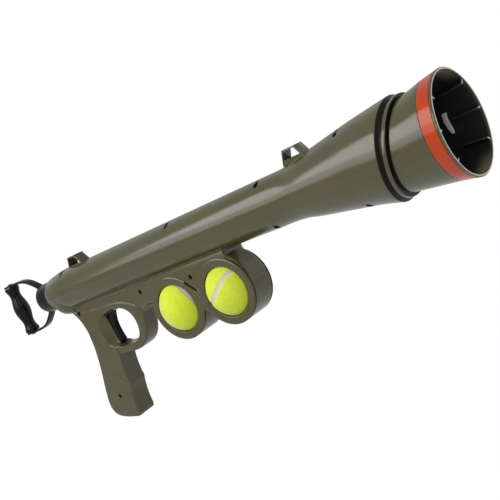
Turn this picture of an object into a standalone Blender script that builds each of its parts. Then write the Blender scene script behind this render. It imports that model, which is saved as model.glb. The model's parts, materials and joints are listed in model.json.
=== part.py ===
# Dog ball thrower: a spring launcher in a two-part shell, with two ball pods
# Metres, X towards the muzzle, Z up, origin in the middle of the hand grip

import math

import bmesh
import bpy
from mathutils import Matrix, Vector

for old in list(bpy.data.objects):
    bpy.data.objects.remove(old, do_unlink=True)

# Running clearance between separate pieces, and the seam between the shell halves
GAP = 0.0003
SEAM = GAP / 2

# Main tube: its axis lies above the grip, stations run along X
AXIS_Z = 0.125
DOME_X = -0.047
BARREL_X = -0.005
BARREL_R = 0.0272
HORN_X = 0.390
HORN_R = 0.0285
COLLAR_X = 0.531
CUP_THROAT_R = 0.0436
COLLAR_RIM = 0.0064
COLLAR_R = CUP_THROAT_R + COLLAR_RIM
SHELL_WALL = 0.0026
DOME_SHARES = [(0.0, 0.79), (0.05, 0.815), (0.20, 0.862), (0.45, 0.92), (0.75, 0.975), (1.0, 1.0)]
# The collar leans: its top stands further forward than its underside
RAKE = 0.27
RAKE_FROM_X = 0.490
RAKE_TO_X = 0.575

# Mouth cup, its collar band, and the ribs inside
CUP_X = 0.594
CUP_FLARE = 0.0086
CUP_R = CUP_THROAT_R + CUP_FLARE
CUP_WALL = 0.0023
SPIGOT = 0.0185
COLLAR_BAND = 0.0048
COLLAR_BAND_R = COLLAR_R - 0.0030
COLLAR_STEP = 0.0030
RIB_SPREAD_DEG = (48, 86, 124)
RIB_DEEP = 0.0050
RIB_THICK = 0.0017
RIB_LONG = 0.026
BAND_LONG = 0.0138
BAND_BACK = 0.0030
BAND_DEEP = 0.0010
TAB_Z = 0.0005
TAB_BACK = 0.0305
TAB_LONG = 0.009
TAB_TALL = 0.0105
TAB_THICK = 0.0016

# Lower body: web, trigger guard and hand grip, outlines in X and Z
WEB_HALF = 0.0115
GRIP_HALF = 0.0148
EDGE_WEB = 0.0022
EDGE_GRIP = 0.0040
WEB_OUTLINE = [(-0.010, 0.112), (-0.014, 0.090), (-0.006, 0.070), (0.004, 0.045), (0.014, 0.024),
               (0.030, 0.0185), (0.050, 0.0178), (0.068, 0.0180), (0.082, 0.0205), (0.093, 0.0270),
               (0.100, 0.0370), (0.1035, 0.0490), (0.1065, 0.0590), (0.1130, 0.0665), (0.1230, 0.0700),
               (0.1500, 0.0700), (0.1780, 0.0620), (0.2615, 0.0620), (0.2700, 0.0800), (0.2735, 0.0930),
               (0.2735, 0.112)]
GRIP_OUTLINE = [(-0.0240, 0.1030), (-0.0235, 0.0960), (-0.0165, 0.0860), (-0.0110, 0.0750),
                (-0.0085, 0.0630),
                (-0.0085, 0.0520), (-0.0108, 0.0360), (-0.0155, 0.0190), (-0.0215, 0.0015),
                (-0.0285, -0.0160),
                (-0.0345, -0.0335), (-0.0368, -0.0450), (-0.0352, -0.0545), (-0.0300, -0.0610),
                (-0.0220, -0.0650),
                (-0.0080, -0.0680), (0.0060, -0.0698), (0.0130, -0.0690), (0.0160, -0.0640),
                (0.0178, -0.0540),
                (0.0202, -0.0420), (0.0238, -0.0300), (0.0268, -0.0230), (0.0264, -0.0165),
                (0.0276, -0.0050),
                (0.0298, 0.0060), (0.0325, 0.0150), (0.0340, 0.0240), (0.0325, 0.0360), (0.0320, 0.0500),
                (0.0335, 0.0660), (0.0400, 0.0790), (0.0520, 0.0890), (0.0640, 0.0970), (0.0660, 0.1120),
                (0.0200, 0.1140), (-0.0180, 0.1120)]
# Saddle between tube and rings: it stands a step behind the ring faces, and slopes down to the web
SADDLE_STEP = 0.0013
SADDLE_X = (0.118, 0.142, 0.2825)
SADDLE_Z = (0.0725, 0.0970)
SADDLE_WALL = 0.0028
SADDLE_POCKETS = [[(0.1240, 0.0940), (0.1240, 0.0755), (0.1395, 0.0755), (0.1500, 0.0880), (0.1600, 0.0940)],
                  [(0.2040, 0.0940), (0.2197, 0.0710), (0.2354, 0.0940)]]
NECK_LONG = 0.033
NECK_HALF = 0.0050
NECK_DROP = 0.0020
FINGER_HOLE = [(0.0345, 0.0755), (0.0460, 0.0785), (0.0600, 0.0795), (0.0720, 0.0780), (0.0820, 0.0735),
               (0.0885, 0.0660),
               (0.0912, 0.0560), (0.0900, 0.0460), (0.0860, 0.0375), (0.0790, 0.0315), (0.0690, 0.0290),
               (0.0520, 0.0285), (0.0400, 0.0290), (0.0370, 0.0330), (0.0350, 0.0450), (0.0340, 0.0600)]
DISH = [(0.0180, 0.0420), (0.0165, 0.0560), (0.0200, 0.0700), (0.0300, 0.0800), (0.0450, 0.0830),
        (0.0500, 0.0760),
        (0.0500, 0.0340), (0.0420, 0.0300), (0.0300, 0.0310), (0.0220, 0.0350)]
DISH_HALF = 0.0068
GRIP_WALL = 0.0028
GRIP_HOLLOW = [(-0.0080, 0.0740), (-0.0055, 0.0630), (-0.0055, 0.0510), (-0.0078, 0.0350),
               (-0.0127, 0.0180),
               (-0.0187, 0.0005), (-0.0257, -0.0170), (-0.0315, -0.0345), (-0.0332, -0.0450),
               (-0.0315, -0.0525),
               (-0.0275, -0.0580), (-0.0205, -0.0618), (-0.0070, -0.0648), (0.0050, -0.0664),
               (0.0105, -0.0660),
               (0.0130, -0.0620), (0.0148, -0.0535), (0.0172, -0.0412), (0.0208, -0.0285),
               (0.0232, -0.0220),
               (0.0232, -0.0160), (0.0246, -0.0050), (0.0268, 0.0060), (0.0250, 0.0160), (0.0130, 0.0300),
               (0.0120, 0.0600), (0.0120, 0.0740)]
LOCK_HOLLOW = [(-0.0105, 0.0965), (-0.0108, 0.0870), (-0.0060, 0.0745), (0.0120, 0.0735),
               (0.0170, 0.0810), (0.0360, 0.0815),
               (0.0720, 0.0820), (0.0880, 0.0800), (0.0960, 0.0760), (0.1010, 0.0760), (0.1010, 0.0965)]
LOCK_HALF = 0.0088
SLOT_HALF = 0.0052
TRIGGER_SLOT = [(0.0140, 0.0740), (0.0145, 0.0310), (0.0400, 0.0305), (0.0600, 0.0790), (0.0600, 0.0850),
                (0.0140, 0.0850)]
SEAR_SLOT_X = (-0.0062, 0.0045)
SEAR_SLOT_HALF = 0.0034

# Ball pods
BALL_R = 0.0339
BALL_GAP = 0.0004
MOUTH_SHARE = 0.8864
POD_X = (0.178, 0.2614)
POD_Z = 0.0534
POD_WALL = 0.0061
POD_LIP = 0.0030
POD_EDGE = 0.0012
# Each ring is sized round its ball: a room it turns in, and lips that it has to be squeezed past
POD_MOUTH_R = MOUTH_SHARE * BALL_R
POD_ROOM_R = BALL_R + BALL_GAP
POD_R = POD_ROOM_R + POD_WALL
POD_HALF = math.sqrt(BALL_R ** 2 - POD_MOUTH_R ** 2) + BALL_GAP + POD_LIP

# Strap loops on top: rear foot, rear shoulder, front shoulder, front foot
LOOP_HALF = 0.0080
LOOP_THICK = 0.0020
LOOP_TALL = 0.0145
REAR_LOOP = ([0.0110, 0.0175, 0.0330, 0.0435], 0.1645)
FRONT_LOOP = ([0.4010, 0.4065, 0.4215, 0.4290], 0.1690)

# Shell screws: X, height and depth of the head's seat, both as shares of the tube's radius there
TUBE_SCREW_SHARES = [(-0.0025, 0.8747, 0.239), (0.216, 0.8665, 0.233), (0.363, 0.8624, 0.229),
                     (0.479, 0.9104, 0.285), (0.3645, -0.8622, 0.229), (0.482, -0.8888, 0.285)]
# The others stand in the lower body: X, height and depth of the seat
LOWER_SCREWS = [(-0.0068, 0.0896, 0.0085), (0.1255, 0.0878, 0.0085), (0.2200, 0.0838, 0.0140),
                (-0.0050, -0.0355, 0.0110)]
SCREW_R = 0.0013
SCREW_HEAD_R = 0.0024
SCREW_HEAD_TALL = 0.0017
SCREW_BORE = SCREW_R + GAP
SCREW_WELL_R = SCREW_HEAD_R + GAP
BOSS_R = 0.0029
BOSS_BIG_R = 0.0036

# Plunger
TUBE_R = 0.0205
TUBE_WALL = 0.0024
TUBE_X = (-0.071, 0.076)
PLUG_LONG = 0.012
ROD_R = 0.0060
ROD_X = (0.054, 0.394)
NUT_R = 0.0098
NUT_TALL = 0.0060
GUIDE_X = (-0.0215, -0.0058)
GUIDE_R = 0.0226
PLATE_X = (0.084, 0.0880)
BUMPER_LONG = 0.0074
BUMPER_R = (0.0115, 0.0190)
RIB_RING = 0.0030
RIB_RING_R = 0.0205
HEAD_X = (0.385, 0.398)
HEAD_R = 0.0200
HEAD_BOSS_R = 0.0095
PAD_LONG = 0.0055
PAD_R = 0.0185
SPRING_R = 0.0118
SPRING_WIRE = 0.0011
SPRING_TURNS = 18
SPRING_STEPS = 8

# Pull handle
BOW_LINE = [(-0.0728, 0.0), (-0.0728, 0.0150), (-0.0765, 0.0195), (-0.0870, 0.0275), (-0.0970, 0.0335),
            (-0.1110, 0.0365),
            (-0.1300, 0.0374), (-0.1490, 0.0374)]
BOW_THICK = 0.0030
BOW_HALF = 0.0055
GRIP_X = -0.1390
GRIP_SHARES = [(-1.0, 0.90), (-0.92, 0.93), (-0.80, 0.83), (-0.55, 0.71), (-0.30, 0.88), (0.0, 1.0),
               (0.30, 0.88), (0.55, 0.71), (0.80, 0.83), (0.92, 0.93), (1.0, 0.90)]
GRIP_R = 0.0118
GRIP_LONG = 0.0712
PIN_R = 0.0025
PIN_HEAD_R = 0.0042
PIN_HEAD_TALL = 0.0012
BOW_BOLT_Z = 0.0095
BOW_BOLT_R = 0.0020
BOW_BOLT_HEAD_R = 0.0036
BOW_BOLT_HEAD_TALL = 0.0018
BOW_BOLT_LONG = 0.0075

# Trigger and sear, outlines in X and Z
TRIGGER_PIN = (0.0470, 0.0885)
SEAR_PIN = (0.0160, 0.0905)
LOCK_PIN_R = 0.0015
LOCK_PIN_HALF = 0.0082
LOCK_BOSS_R = 0.0034
LOCK_BOSS_TO = 0.0062
TRIGGER_HALF = 0.0045
TRIGGER = [(0.0440, 0.0700), (0.0406, 0.0610), (0.0395, 0.0520), (0.0400, 0.0430), (0.0414, 0.0345),
           (0.0355, 0.0332),
           (0.0320, 0.0450), (0.0303, 0.0580), (0.0306, 0.0710), (0.0370, 0.0780), (0.0400, 0.0840),
           (0.0345, 0.0848),
           (0.0340, 0.0872), (0.0420, 0.0905), (0.0462, 0.0930), (0.0510, 0.0910), (0.0520, 0.0870),
           (0.0500, 0.0810)]
SEAR_HALF = 0.0026
SEAR = [(-0.0032, 0.1040), (0.0012, 0.1040), (0.0028, 0.0962), (0.0120, 0.0945), (0.0200, 0.0945),
        (0.0370, 0.0925),
        (0.0375, 0.0890), (0.0340, 0.0882), (0.0200, 0.0868), (0.0120, 0.0868), (0.0020, 0.0925),
        (-0.0032, 0.0955)]
TRIGGER_SPRING_X = (0.0150, 0.0300)
TRIGGER_SPRING_Z = 0.0600
TRIGGER_SPRING_R = 0.0026
LIGHT_WIRE = 0.0004
TRIGGER_SPRING_TURNS = 5
SEAR_SPRING_R = 0.0026
SEAR_SPRING_Y = (0.0033, 0.0056)
SEAR_WIRE = 0.00025
SEAR_SPRING_TURNS = 1.75

# Facets of round pieces
FINE = 32
ROUND = 20
SMALL = 10
TINY = 8

# Reach of cutting tools past a surface, and the size below which a radius is a point
PAST = 0.004
FLAT = 0.0000001

OLIVE = (0.124, 0.119, 0.072)
ORANGE = (0.403, 0.072, 0.026)
BLACK = (0.012, 0.012, 0.013)
PALE = (0.40, 0.39, 0.37)
FELT = (0.62, 0.73, 0.06)
STEEL = (0.45, 0.45, 0.46)
RUBBER = (0.03, 0.03, 0.03)


def material(name, colour, rough, metal=0.0):
    mat = bpy.data.materials.new("mat_" + name)
    mat.use_nodes = True
    shader = mat.node_tree.nodes["Principled BSDF"]
    shader.inputs["Base Color"].default_value = (*colour, 1.0)
    shader.inputs["Roughness"].default_value = rough
    shader.inputs["Metallic"].default_value = metal
    return mat


def finish(bm, name, origin=(0, 0, 0), angle=35.0):
    """Turn a bmesh into a named object whose origin is its joint or centre point."""
    bmesh.ops.recalc_face_normals(bm, faces=bm.faces)
    for face in bm.faces:
        face.smooth = True
    sharp = math.radians(angle)
    for edge in bm.edges:
        if len(edge.link_faces) == 2 and edge.calc_face_angle() > sharp:
            edge.smooth = False
    bm.transform(Matrix.Translation(-Vector(origin)))
    mesh = bpy.data.meshes.new(name)
    bm.to_mesh(mesh)
    bm.free()
    ob = bpy.data.objects.new(name, mesh)
    ob.location = origin
    bpy.context.scene.collection.objects.link(ob)
    return ob


def piece(bm, name, colour, rough, metal=0.0, origin=(0, 0, 0)):
    ob = finish(bm, name, origin)
    ob.data.materials.append(material(name, colour, rough, metal))
    return ob


def tool(bm, name):
    ob = finish(bm, "tool_" + name)
    ob.hide_render = True
    ob.display_type = "WIRE"
    return ob


def boolean(ob, other, operation):
    mod = ob.modifiers.new(other.name, "BOOLEAN")
    mod.operation = operation
    mod.solver = "EXACT"
    mod.object = other


def revolve(bm, profile, steps, place, closed):
    """Turn a profile of (along, radius) about the X axis, then place it with a matrix."""
    flat_start = profile[0][1] < FLAT and abs(profile[0][0] - profile[1][0]) < FLAT
    flat_end = profile[-1][1] < FLAT and abs(profile[-1][0] - profile[-2][0]) < FLAT
    rings = []
    for along, radius in profile[int(flat_start):len(profile) - int(flat_end)]:
        if radius < FLAT:
            rings.append([bm.verts.new(place @ Vector((along, 0, 0)))])
            continue
        ring = []
        for k in range(steps):
            turn = 2 * math.pi * (k + 0.5) / steps
            ring.append(bm.verts.new(place @ Vector((along, radius * math.cos(turn),
                                                     radius * math.sin(turn)))))
        rings.append(ring)
    pairs = list(zip(rings[:-1], rings[1:]))
    if closed:
        pairs.append((rings[-1], rings[0]))
    for a, b in pairs:
        for k in range(steps):
            n = (k + 1) % steps
            if len(a) == 1:
                bm.faces.new((a[0], b[n], b[k]))
            elif len(b) == 1:
                bm.faces.new((a[k], a[n], b[0]))
            else:
                bm.faces.new((a[k], a[n], b[n], b[k]))
    if flat_start:
        bm.faces.new(rings[0])
    if flat_end:
        bm.faces.new(rings[-1])


ALONG_X = Matrix.Translation((0, 0, AXIS_Z))


def turned(profile, steps, place=ALONG_X, closed=False):
    bm = bmesh.new()
    revolve(bm, profile, steps, place, closed)
    return bm


def along_y(x, z):
    """Placement that lays the turning axis along Y through (x, z)."""
    return Matrix.Translation((x, 0, z)) @ Matrix.Rotation(math.pi / 2, 4, "Z")


def along_z(x, z):
    return Matrix.Translation((x, 0, z)) @ Matrix.Rotation(-math.pi / 2, 4, "Y")


def area(points):
    return sum(a[0] * b[1] - b[0] * a[1] for a, b in zip(points, points[1:] + points[:1])) / 2


def inset(points, depth):
    """Move a closed outline inwards by a constant depth."""
    turn = 1 if area(points) > 0 else -1
    out = []
    count = len(points)
    for k in range(count):
        p0, p1, p2 = (Vector(points[(k + j - 1) % count]) for j in range(3))
        d1 = (p1 - p0).normalized()
        d2 = (p2 - p1).normalized()
        n1 = Vector((-d1.y, d1.x)) * turn
        n2 = Vector((-d2.y, d2.x)) * turn
        out.append(tuple(p1 + (n1 + n2) * (depth / max(1 + n1.dot(n2), 0.35))))
    return out


def slab(bm, points, y0, y1, edge=0.0, both=False):
    """Extrude an X-Z outline from y0 to y1, with a bevel at y1 or at both ends."""
    way = 1 if y1 > y0 else -1
    layers = [(y0, points)]
    if both and edge:
        layers = [(y0, inset(points, edge)), (y0 + way * edge, points)]
    if edge:
        layers.append((y1 - way * edge, points))
        layers.append((y1 - way * edge * 0.3, inset(points, edge * 0.35)))
        layers.append((y1, inset(points, edge)))
    else:
        layers.append((y1, points))
    rings = [[bm.verts.new((x, y, z)) for x, z in pts] for y, pts in layers]
    for a, b in zip(rings[:-1], rings[1:]):
        for k in range(len(a)):
            n = (k + 1) % len(a)
            bm.faces.new((a[k], a[n], b[n], b[k]))
    bm.faces.new(rings[0])
    bm.faces.new(rings[-1])


def box(bm, low, high):
    (x0, y0, z0), (x1, y1, z1) = low, high
    slab(bm, [(x0, z0), (x1, z0), (x1, z1), (x0, z1)], y0, y1)


def rod(bm, x, z, y0, y1, radius, steps):
    revolve(bm, [(y0, 0), (y0, radius), (y1, radius), (y1, 0)], steps, along_y(x, z), False)


def rake(bm):
    """Lean the collar: push its upper side forward and its underside back."""
    for vert in bm.verts:
        x = vert.co.x
        if x <= RAKE_FROM_X or x >= RAKE_TO_X:
            continue
        if x < COLLAR_X:
            weight = (x - RAKE_FROM_X) / (COLLAR_X - RAKE_FROM_X)
        else:
            weight = min(1.0, (RAKE_TO_X - x) / (RAKE_TO_X - COLLAR_X - 2 * COLLAR_BAND))
        vert.co.x += RAKE * weight * (vert.co.z - AXIS_Z)


def horn_r(x):
    return HORN_R + (COLLAR_R - HORN_R) * (x - HORN_X) / (COLLAR_X - HORN_X)


def barrel_r(x):
    if x >= HORN_X:
        return horn_r(x)
    return BARREL_R + (HORN_R - BARREL_R) * max(0.0, x - BARREL_X) / (HORN_X - BARREL_X)


SCREWS = [(x, AXIS_Z + up * barrel_r(x), deep * barrel_r(x)) for x, up, deep in TUBE_SCREW_SHARES]
SCREWS += LOWER_SCREWS


def cup_r(x):
    start = COLLAR_X + COLLAR_BAND + COLLAR_STEP
    return CUP_THROAT_R + (CUP_R - CUP_THROAT_R) * (x - start) / (CUP_X - start)


# Outside of the tube, dome and horn as one turned solid
FLARE = 0.012
outer = [(DOME_X, 0.0)]
for share_x, share_r in DOME_SHARES:
    outer.append((DOME_X + share_x * (BARREL_X - DOME_X), share_r * BARREL_R))
outer += [(HORN_X - FLARE, barrel_r(HORN_X - FLARE)), (HORN_X, HORN_R + GAP),
          (HORN_X + FLARE, horn_r(HORN_X + FLARE) + GAP),
          (RAKE_FROM_X, horn_r(RAKE_FROM_X)), (COLLAR_X, COLLAR_R)]
outer.append((COLLAR_X, 0.0))

# Room inside it, from the plunger's exit hole to the seat of the mouth cup
SEAT_X = COLLAR_X - SPIGOT - GAP
SEAT_R = CUP_THROAT_R + GAP
ROOM_X = DOME_X + 2.2 * SHELL_WALL
room = [(DOME_X - PAST, 0.0), (DOME_X - PAST, TUBE_R + GAP), (ROOM_X, TUBE_R + GAP)]
for share_x, share_r in DOME_SHARES[3:]:
    x = DOME_X + share_x * (BARREL_X - DOME_X)
    room.append((x + SHELL_WALL, max(share_r * BARREL_R - SHELL_WALL, TUBE_R + 2 * GAP)))
# Two rings left standing in the bore hold the spring plate between them
for start in (PLATE_X[0] - GAP - RIB_RING, PLATE_X[1] + GAP):
    end = start + RIB_RING
    room += [(start, barrel_r(start) - SHELL_WALL), (start, RIB_RING_R), (end, RIB_RING_R),
             (end, barrel_r(end) - SHELL_WALL)]
room += [(HORN_X, HORN_R - SHELL_WALL), (RAKE_FROM_X, horn_r(RAKE_FROM_X) - SHELL_WALL),
         (SEAT_X, horn_r(SEAT_X) - 1.5 * SHELL_WALL), (SEAT_X, SEAT_R),
         (COLLAR_X, SEAT_R), (COLLAR_X + PAST, SEAT_R), (COLLAR_X + PAST, 0.0)]

bm = turned(room, FINE)
rake(bm)
room_tool = tool(bm, "room")

def loop_body(side, loop):
    feet, top = loop
    bm = bmesh.new()
    slab(bm, [(feet[0], top - LOOP_TALL), (feet[3], top - LOOP_TALL), (feet[2], top), (feet[1], top)],
         -side * PAST, side * LOOP_HALF)
    return tool(bm, "loop")


def loop_gap(loop):
    feet, top = loop
    bm = bmesh.new()
    floor = AXIS_Z + barrel_r(feet[3]) + GAP
    lean = LOOP_THICK * 1.3
    slab(bm, [(feet[0] + lean + PAST / 4, floor), (feet[3] - 2 * lean, floor),
              (feet[2] - lean / 2, top - LOOP_THICK), (feet[1] + lean / 2, top - LOOP_THICK)],
         -2 * LOOP_HALF, 2 * LOOP_HALF)
    return tool(bm, "loop_gap")


def lower_body(side):
    """Web and guard, grip, pods and neck, for one side."""
    parts = []
    bm = bmesh.new()
    slab(bm, WEB_OUTLINE, -side * PAST, side * WEB_HALF, EDGE_WEB)
    parts.append(tool(bm, "web"))
    bm = bmesh.new()
    slab(bm, GRIP_OUTLINE, -side * 1.3 * PAST, side * GRIP_HALF, EDGE_GRIP)
    parts.append(tool(bm, "grip"))
    for x in POD_X:
        edge = POD_R - POD_EDGE
        bm = turned([(-side * 1.6 * PAST, 0), (-side * 1.6 * PAST, POD_R),
                     (side * (POD_HALF - POD_EDGE), POD_R),
                     (side * (POD_HALF - 0.3 * POD_EDGE), POD_R - 0.35 * POD_EDGE), (side * POD_HALF, edge),
                     (side * POD_HALF, 0)], FINE, along_y(x, POD_Z))
        parts.append(tool(bm, "pod"))
    # Saddle, drawn from above and pulled up; its lower fill closes the notch between the rings
    half = POD_HALF - SADDLE_STEP
    start, full, end = SADDLE_X
    bm = bmesh.new()
    slab(bm, [(start, -side * 0.7 * PAST), (start, side * WEB_HALF), (full, side * half), (end, side * half),
              (end, -side * 0.7 * PAST)], *SADDLE_Z)
    for vert in bm.verts:
        vert.co = Vector((vert.co.x, vert.co.z, vert.co.y))
    parts.append(tool(bm, "saddle"))
    bm = bmesh.new()
    top = SADDLE_Z[0] + PAST
    slab(bm, [(POD_X[0], POD_Z), (POD_X[1], POD_Z), (POD_X[1], top), (POD_X[0], top)],
         -side * 0.4 * PAST, side * (half - GAP / 3))
    parts.append(tool(bm, "ring_fill"))
    bm = bmesh.new()
    neck_x = WEB_OUTLINE[-1][0] - PAST
    neck_z = AXIS_Z - barrel_r(neck_x) - NECK_DROP
    box(bm, (neck_x, -side * 0.8 * PAST, neck_z),
        (neck_x + NECK_LONG, side * NECK_HALF, neck_z + 2 * NECK_DROP))
    parts.append(tool(bm, "neck"))
    return parts


def cut_tools():
    """Everything below the tube that is cut away from both halves."""
    tools = []
    bm = bmesh.new()
    slab(bm, FINGER_HOLE, -2 * GRIP_HALF, 2 * GRIP_HALF)
    tools.append(tool(bm, "finger_hole"))
    bm = bmesh.new()
    slab(bm, DISH, DISH_HALF, 2 * GRIP_HALF)
    slab(bm, DISH, -DISH_HALF, -2 * GRIP_HALF)
    tools.append(tool(bm, "dish"))
    bm = bmesh.new()
    slab(bm, GRIP_HOLLOW, -GRIP_HALF + GRIP_WALL, GRIP_HALF - GRIP_WALL)
    tools.append(tool(bm, "grip_hollow"))
    bm = bmesh.new()
    slab(bm, LOCK_HOLLOW, -LOCK_HALF, LOCK_HALF)
    tools.append(tool(bm, "lock_hollow"))
    bm = bmesh.new()
    slab(bm, TRIGGER_SLOT, -SLOT_HALF, SLOT_HALF)
    tools.append(tool(bm, "trigger_slot"))
    bm = bmesh.new()
    box(bm, (SEAR_SLOT_X[0], -SEAR_SLOT_HALF, SEAR_PIN[1]),
        (SEAR_SLOT_X[1], SEAR_SLOT_HALF, AXIS_Z - TUBE_R))
    tools.append(tool(bm, "sear_slot"))
    for pocket, half in zip(SADDLE_POCKETS, (WEB_HALF, POD_HALF - SADDLE_STEP)):
        bm = bmesh.new()
        slab(bm, pocket, SADDLE_WALL - half, half - SADDLE_WALL)
        tools.append(tool(bm, "pocket"))
    for x in POD_X:
        lip = POD_HALF - POD_LIP
        flare = POD_MOUTH_R + 2 * POD_EDGE
        bm = turned([(-POD_HALF - PAST, 0), (-POD_HALF - PAST, flare), (-POD_HALF, POD_MOUTH_R + POD_EDGE),
                     (-POD_HALF + POD_EDGE, POD_MOUTH_R), (-lip, POD_MOUTH_R), (-lip, POD_ROOM_R),
                     (lip, POD_ROOM_R),
                     (lip, POD_MOUTH_R), (POD_HALF - POD_EDGE, POD_MOUTH_R),
                     (POD_HALF, POD_MOUTH_R + POD_EDGE),
                     (POD_HALF + PAST, flare), (POD_HALF + PAST, 0)], FINE, along_y(x, POD_Z))
        tools.append(tool(bm, "ball_room"))
    return tools


def inner_posts(side, span, pins):
    """Screw posts, and the bosses of the lock pins."""
    posts = bmesh.new()
    for x, z, seat in SCREWS:
        if not span[0] < x < span[1]:
            continue
        near_tube = z > AXIS_Z - TUBE_R
        radius = BOSS_R if near_tube or x > POD_X[1] else BOSS_BIG_R
        depth = seat + (GAP if near_tube else SHELL_WALL / 2)
        rod(posts, x, z, -side * PAST, side * depth, radius, SMALL)
    for x, z in pins:
        rod(posts, x, z, side * LOCK_BOSS_TO, side * (LOCK_HALF + PAST / 4), LOCK_BOSS_R, SMALL)
    return posts


def holes(side, span, pins):
    """Screw wells and bores, and the blind holes for the lock pins."""
    bores = bmesh.new()
    for x, z, seat in SCREWS:
        if not span[0] < x < span[1]:
            continue
        if side < 0:
            reach = 3 * GRIP_HALF
            revolve(bores, [(2 * PAST, 0), (2 * PAST, SCREW_BORE), (-seat, SCREW_BORE),
                            (-seat, SCREW_WELL_R), (-reach, SCREW_WELL_R), (-reach, 0)],
                    SMALL, along_y(x, z), False)
        else:
            rod(bores, x, z, -2 * PAST, seat - SHELL_WALL / 4, SCREW_BORE, SMALL)
    for x, z in pins:
        rod(bores, x, z, -side * 2 * PAST, side * (LOCK_PIN_HALF + GAP), LOCK_PIN_R + GAP, SMALL)
    return bores


def shell(name, side, span, bodies, cuts, pins=()):
    """One half of the shell over a span of X: base, what is added, what is cut, then the halving."""
    bm = turned(outer, FINE)
    rake(bm)
    ob = piece(bm, name, OLIVE, 0.32)
    for part in bodies:
        boolean(ob, part, "UNION")
    for cut in cuts:
        boolean(ob, cut, "DIFFERENCE")
    boolean(ob, tool(inner_posts(side, span, pins), "posts"), "UNION")
    boolean(ob, tool(holes(side, span, pins), "holes"), "DIFFERENCE")
    bm = bmesh.new()
    low, high = sorted((side * SEAM, side * 4 * POD_R))
    box(bm, (span[0], low, -CUP_X), (span[1], high, CUP_X))
    boolean(ob, tool(bm, "split"), "INTERSECT")
    return ob


# The horn's halves stand apart from the tube's, so that each keeps a simple form
TUBE_SPAN = (-CUP_X, HORN_X - GAP)
HORN_SPAN = (HORN_X, 2 * CUP_X)
LOWER_CUTS = cut_tools()
rear_gap = loop_gap(REAR_LOOP)
front_gap = loop_gap(FRONT_LOOP)
for label, side in (("right", -1), ("left", 1)):
    shell(label + "_shell", side, TUBE_SPAN, lower_body(side) + [loop_body(side, REAR_LOOP)],
          [room_tool] + LOWER_CUTS + [rear_gap], (TRIGGER_PIN, SEAR_PIN))
    shell(label + "_horn", side, HORN_SPAN, [loop_body(side, FRONT_LOOP)], [room_tool, front_gap])

# Mouth cup: spigot inside the shell, stepped collar, cone, groove for the band, lip
START = COLLAR_X + COLLAR_BAND + COLLAR_STEP
BAND_X = (CUP_X - BAND_BACK - BAND_LONG, CUP_X - BAND_BACK)
cup = [(COLLAR_X - SPIGOT, CUP_THROAT_R), (COLLAR_X + GAP, CUP_THROAT_R), (COLLAR_X + GAP, COLLAR_BAND_R),
       (COLLAR_X + COLLAR_BAND, COLLAR_BAND_R), (COLLAR_X + COLLAR_BAND + COLLAR_STEP / 3, CUP_THROAT_R),
       (START, CUP_THROAT_R), (BAND_X[0] - GAP, cup_r(BAND_X[0])),
       (BAND_X[0] - GAP, cup_r(BAND_X[0]) - BAND_DEEP),
       (BAND_X[1] + GAP, cup_r(BAND_X[1]) - BAND_DEEP), (BAND_X[1] + GAP, cup_r(BAND_X[1])),
       (CUP_X - CUP_WALL / 4, CUP_R), (CUP_X, CUP_R - CUP_WALL / 6), (CUP_X, CUP_R - CUP_WALL),
       (START, CUP_THROAT_R - CUP_WALL), (COLLAR_X - SPIGOT, CUP_THROAT_R - CUP_WALL)]
bm = turned(cup, FINE, closed=True)
rake(bm)
muzzle_cup = piece(bm, "muzzle_cup", OLIVE, 0.32)
bm = bmesh.new()
rib_start = CUP_X - RIB_LONG - RIB_DEEP / 2
rib_end = CUP_X - CUP_WALL / 4
for spread in [way * math.radians(deg) for way in (1, -1) for deg in RIB_SPREAD_DEG]:
    turn = Matrix.Translation((0, 0, AXIS_Z)) @ Matrix.Rotation(spread, 4, "X")
    corners = []
    for x in (rib_start, rib_end):
        wall = cup_r(x) - CUP_WALL
        for y in (-RIB_THICK / 2, RIB_THICK / 2):
            corners.append((bm.verts.new(turn @ Vector((x, y, wall + CUP_WALL / 3))),
                            bm.verts.new(turn @ Vector((x, y, wall - RIB_DEEP)))))
    (a, b), (c, d), (e, f), (g, h) = corners
    for quad in ((a, b, d, c), (e, g, h, f), (a, e, f, b), (c, d, h, g), (a, c, g, e), (b, f, h, d)):
        bm.faces.new(quad)
boolean(muzzle_cup, tool(bm, "ribs"), "UNION")

# Orange band seated in the groove
bm = turned([(BAND_X[0], cup_r(BAND_X[0])), (BAND_X[1], cup_r(BAND_X[1])),
             (BAND_X[1], cup_r(BAND_X[1]) - BAND_DEEP + GAP),
             (BAND_X[0], cup_r(BAND_X[0]) - BAND_DEEP + GAP)],
            FINE, closed=True)
muzzle_band = piece(bm, "muzzle_band", ORANGE, 0.35)

# Pale tab on the cup's inner far side
bm = bmesh.new()
tab_x = CUP_X - TAB_BACK
TAB_SHARES = [(0.0, 1.0), (0.35, 1.0), (0.75, 0.55), (1.0, 0.0), (0.95, -0.6), (0.80, -1.0),
              (0.30, -1.0), (0.05, -0.55)]
tab = [(tab_x - TAB_LONG * s, AXIS_Z + TAB_Z + TAB_TALL * t) for s, t in TAB_SHARES]
tab_y = math.sqrt((cup_r(tab_x - TAB_LONG) - CUP_WALL) ** 2 - (TAB_TALL + TAB_Z) ** 2) - 2 * GAP
slab(bm, tab, tab_y - TAB_THICK, tab_y)
retainer_tab = piece(bm, "retainer_tab", PALE, 0.4)

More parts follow.
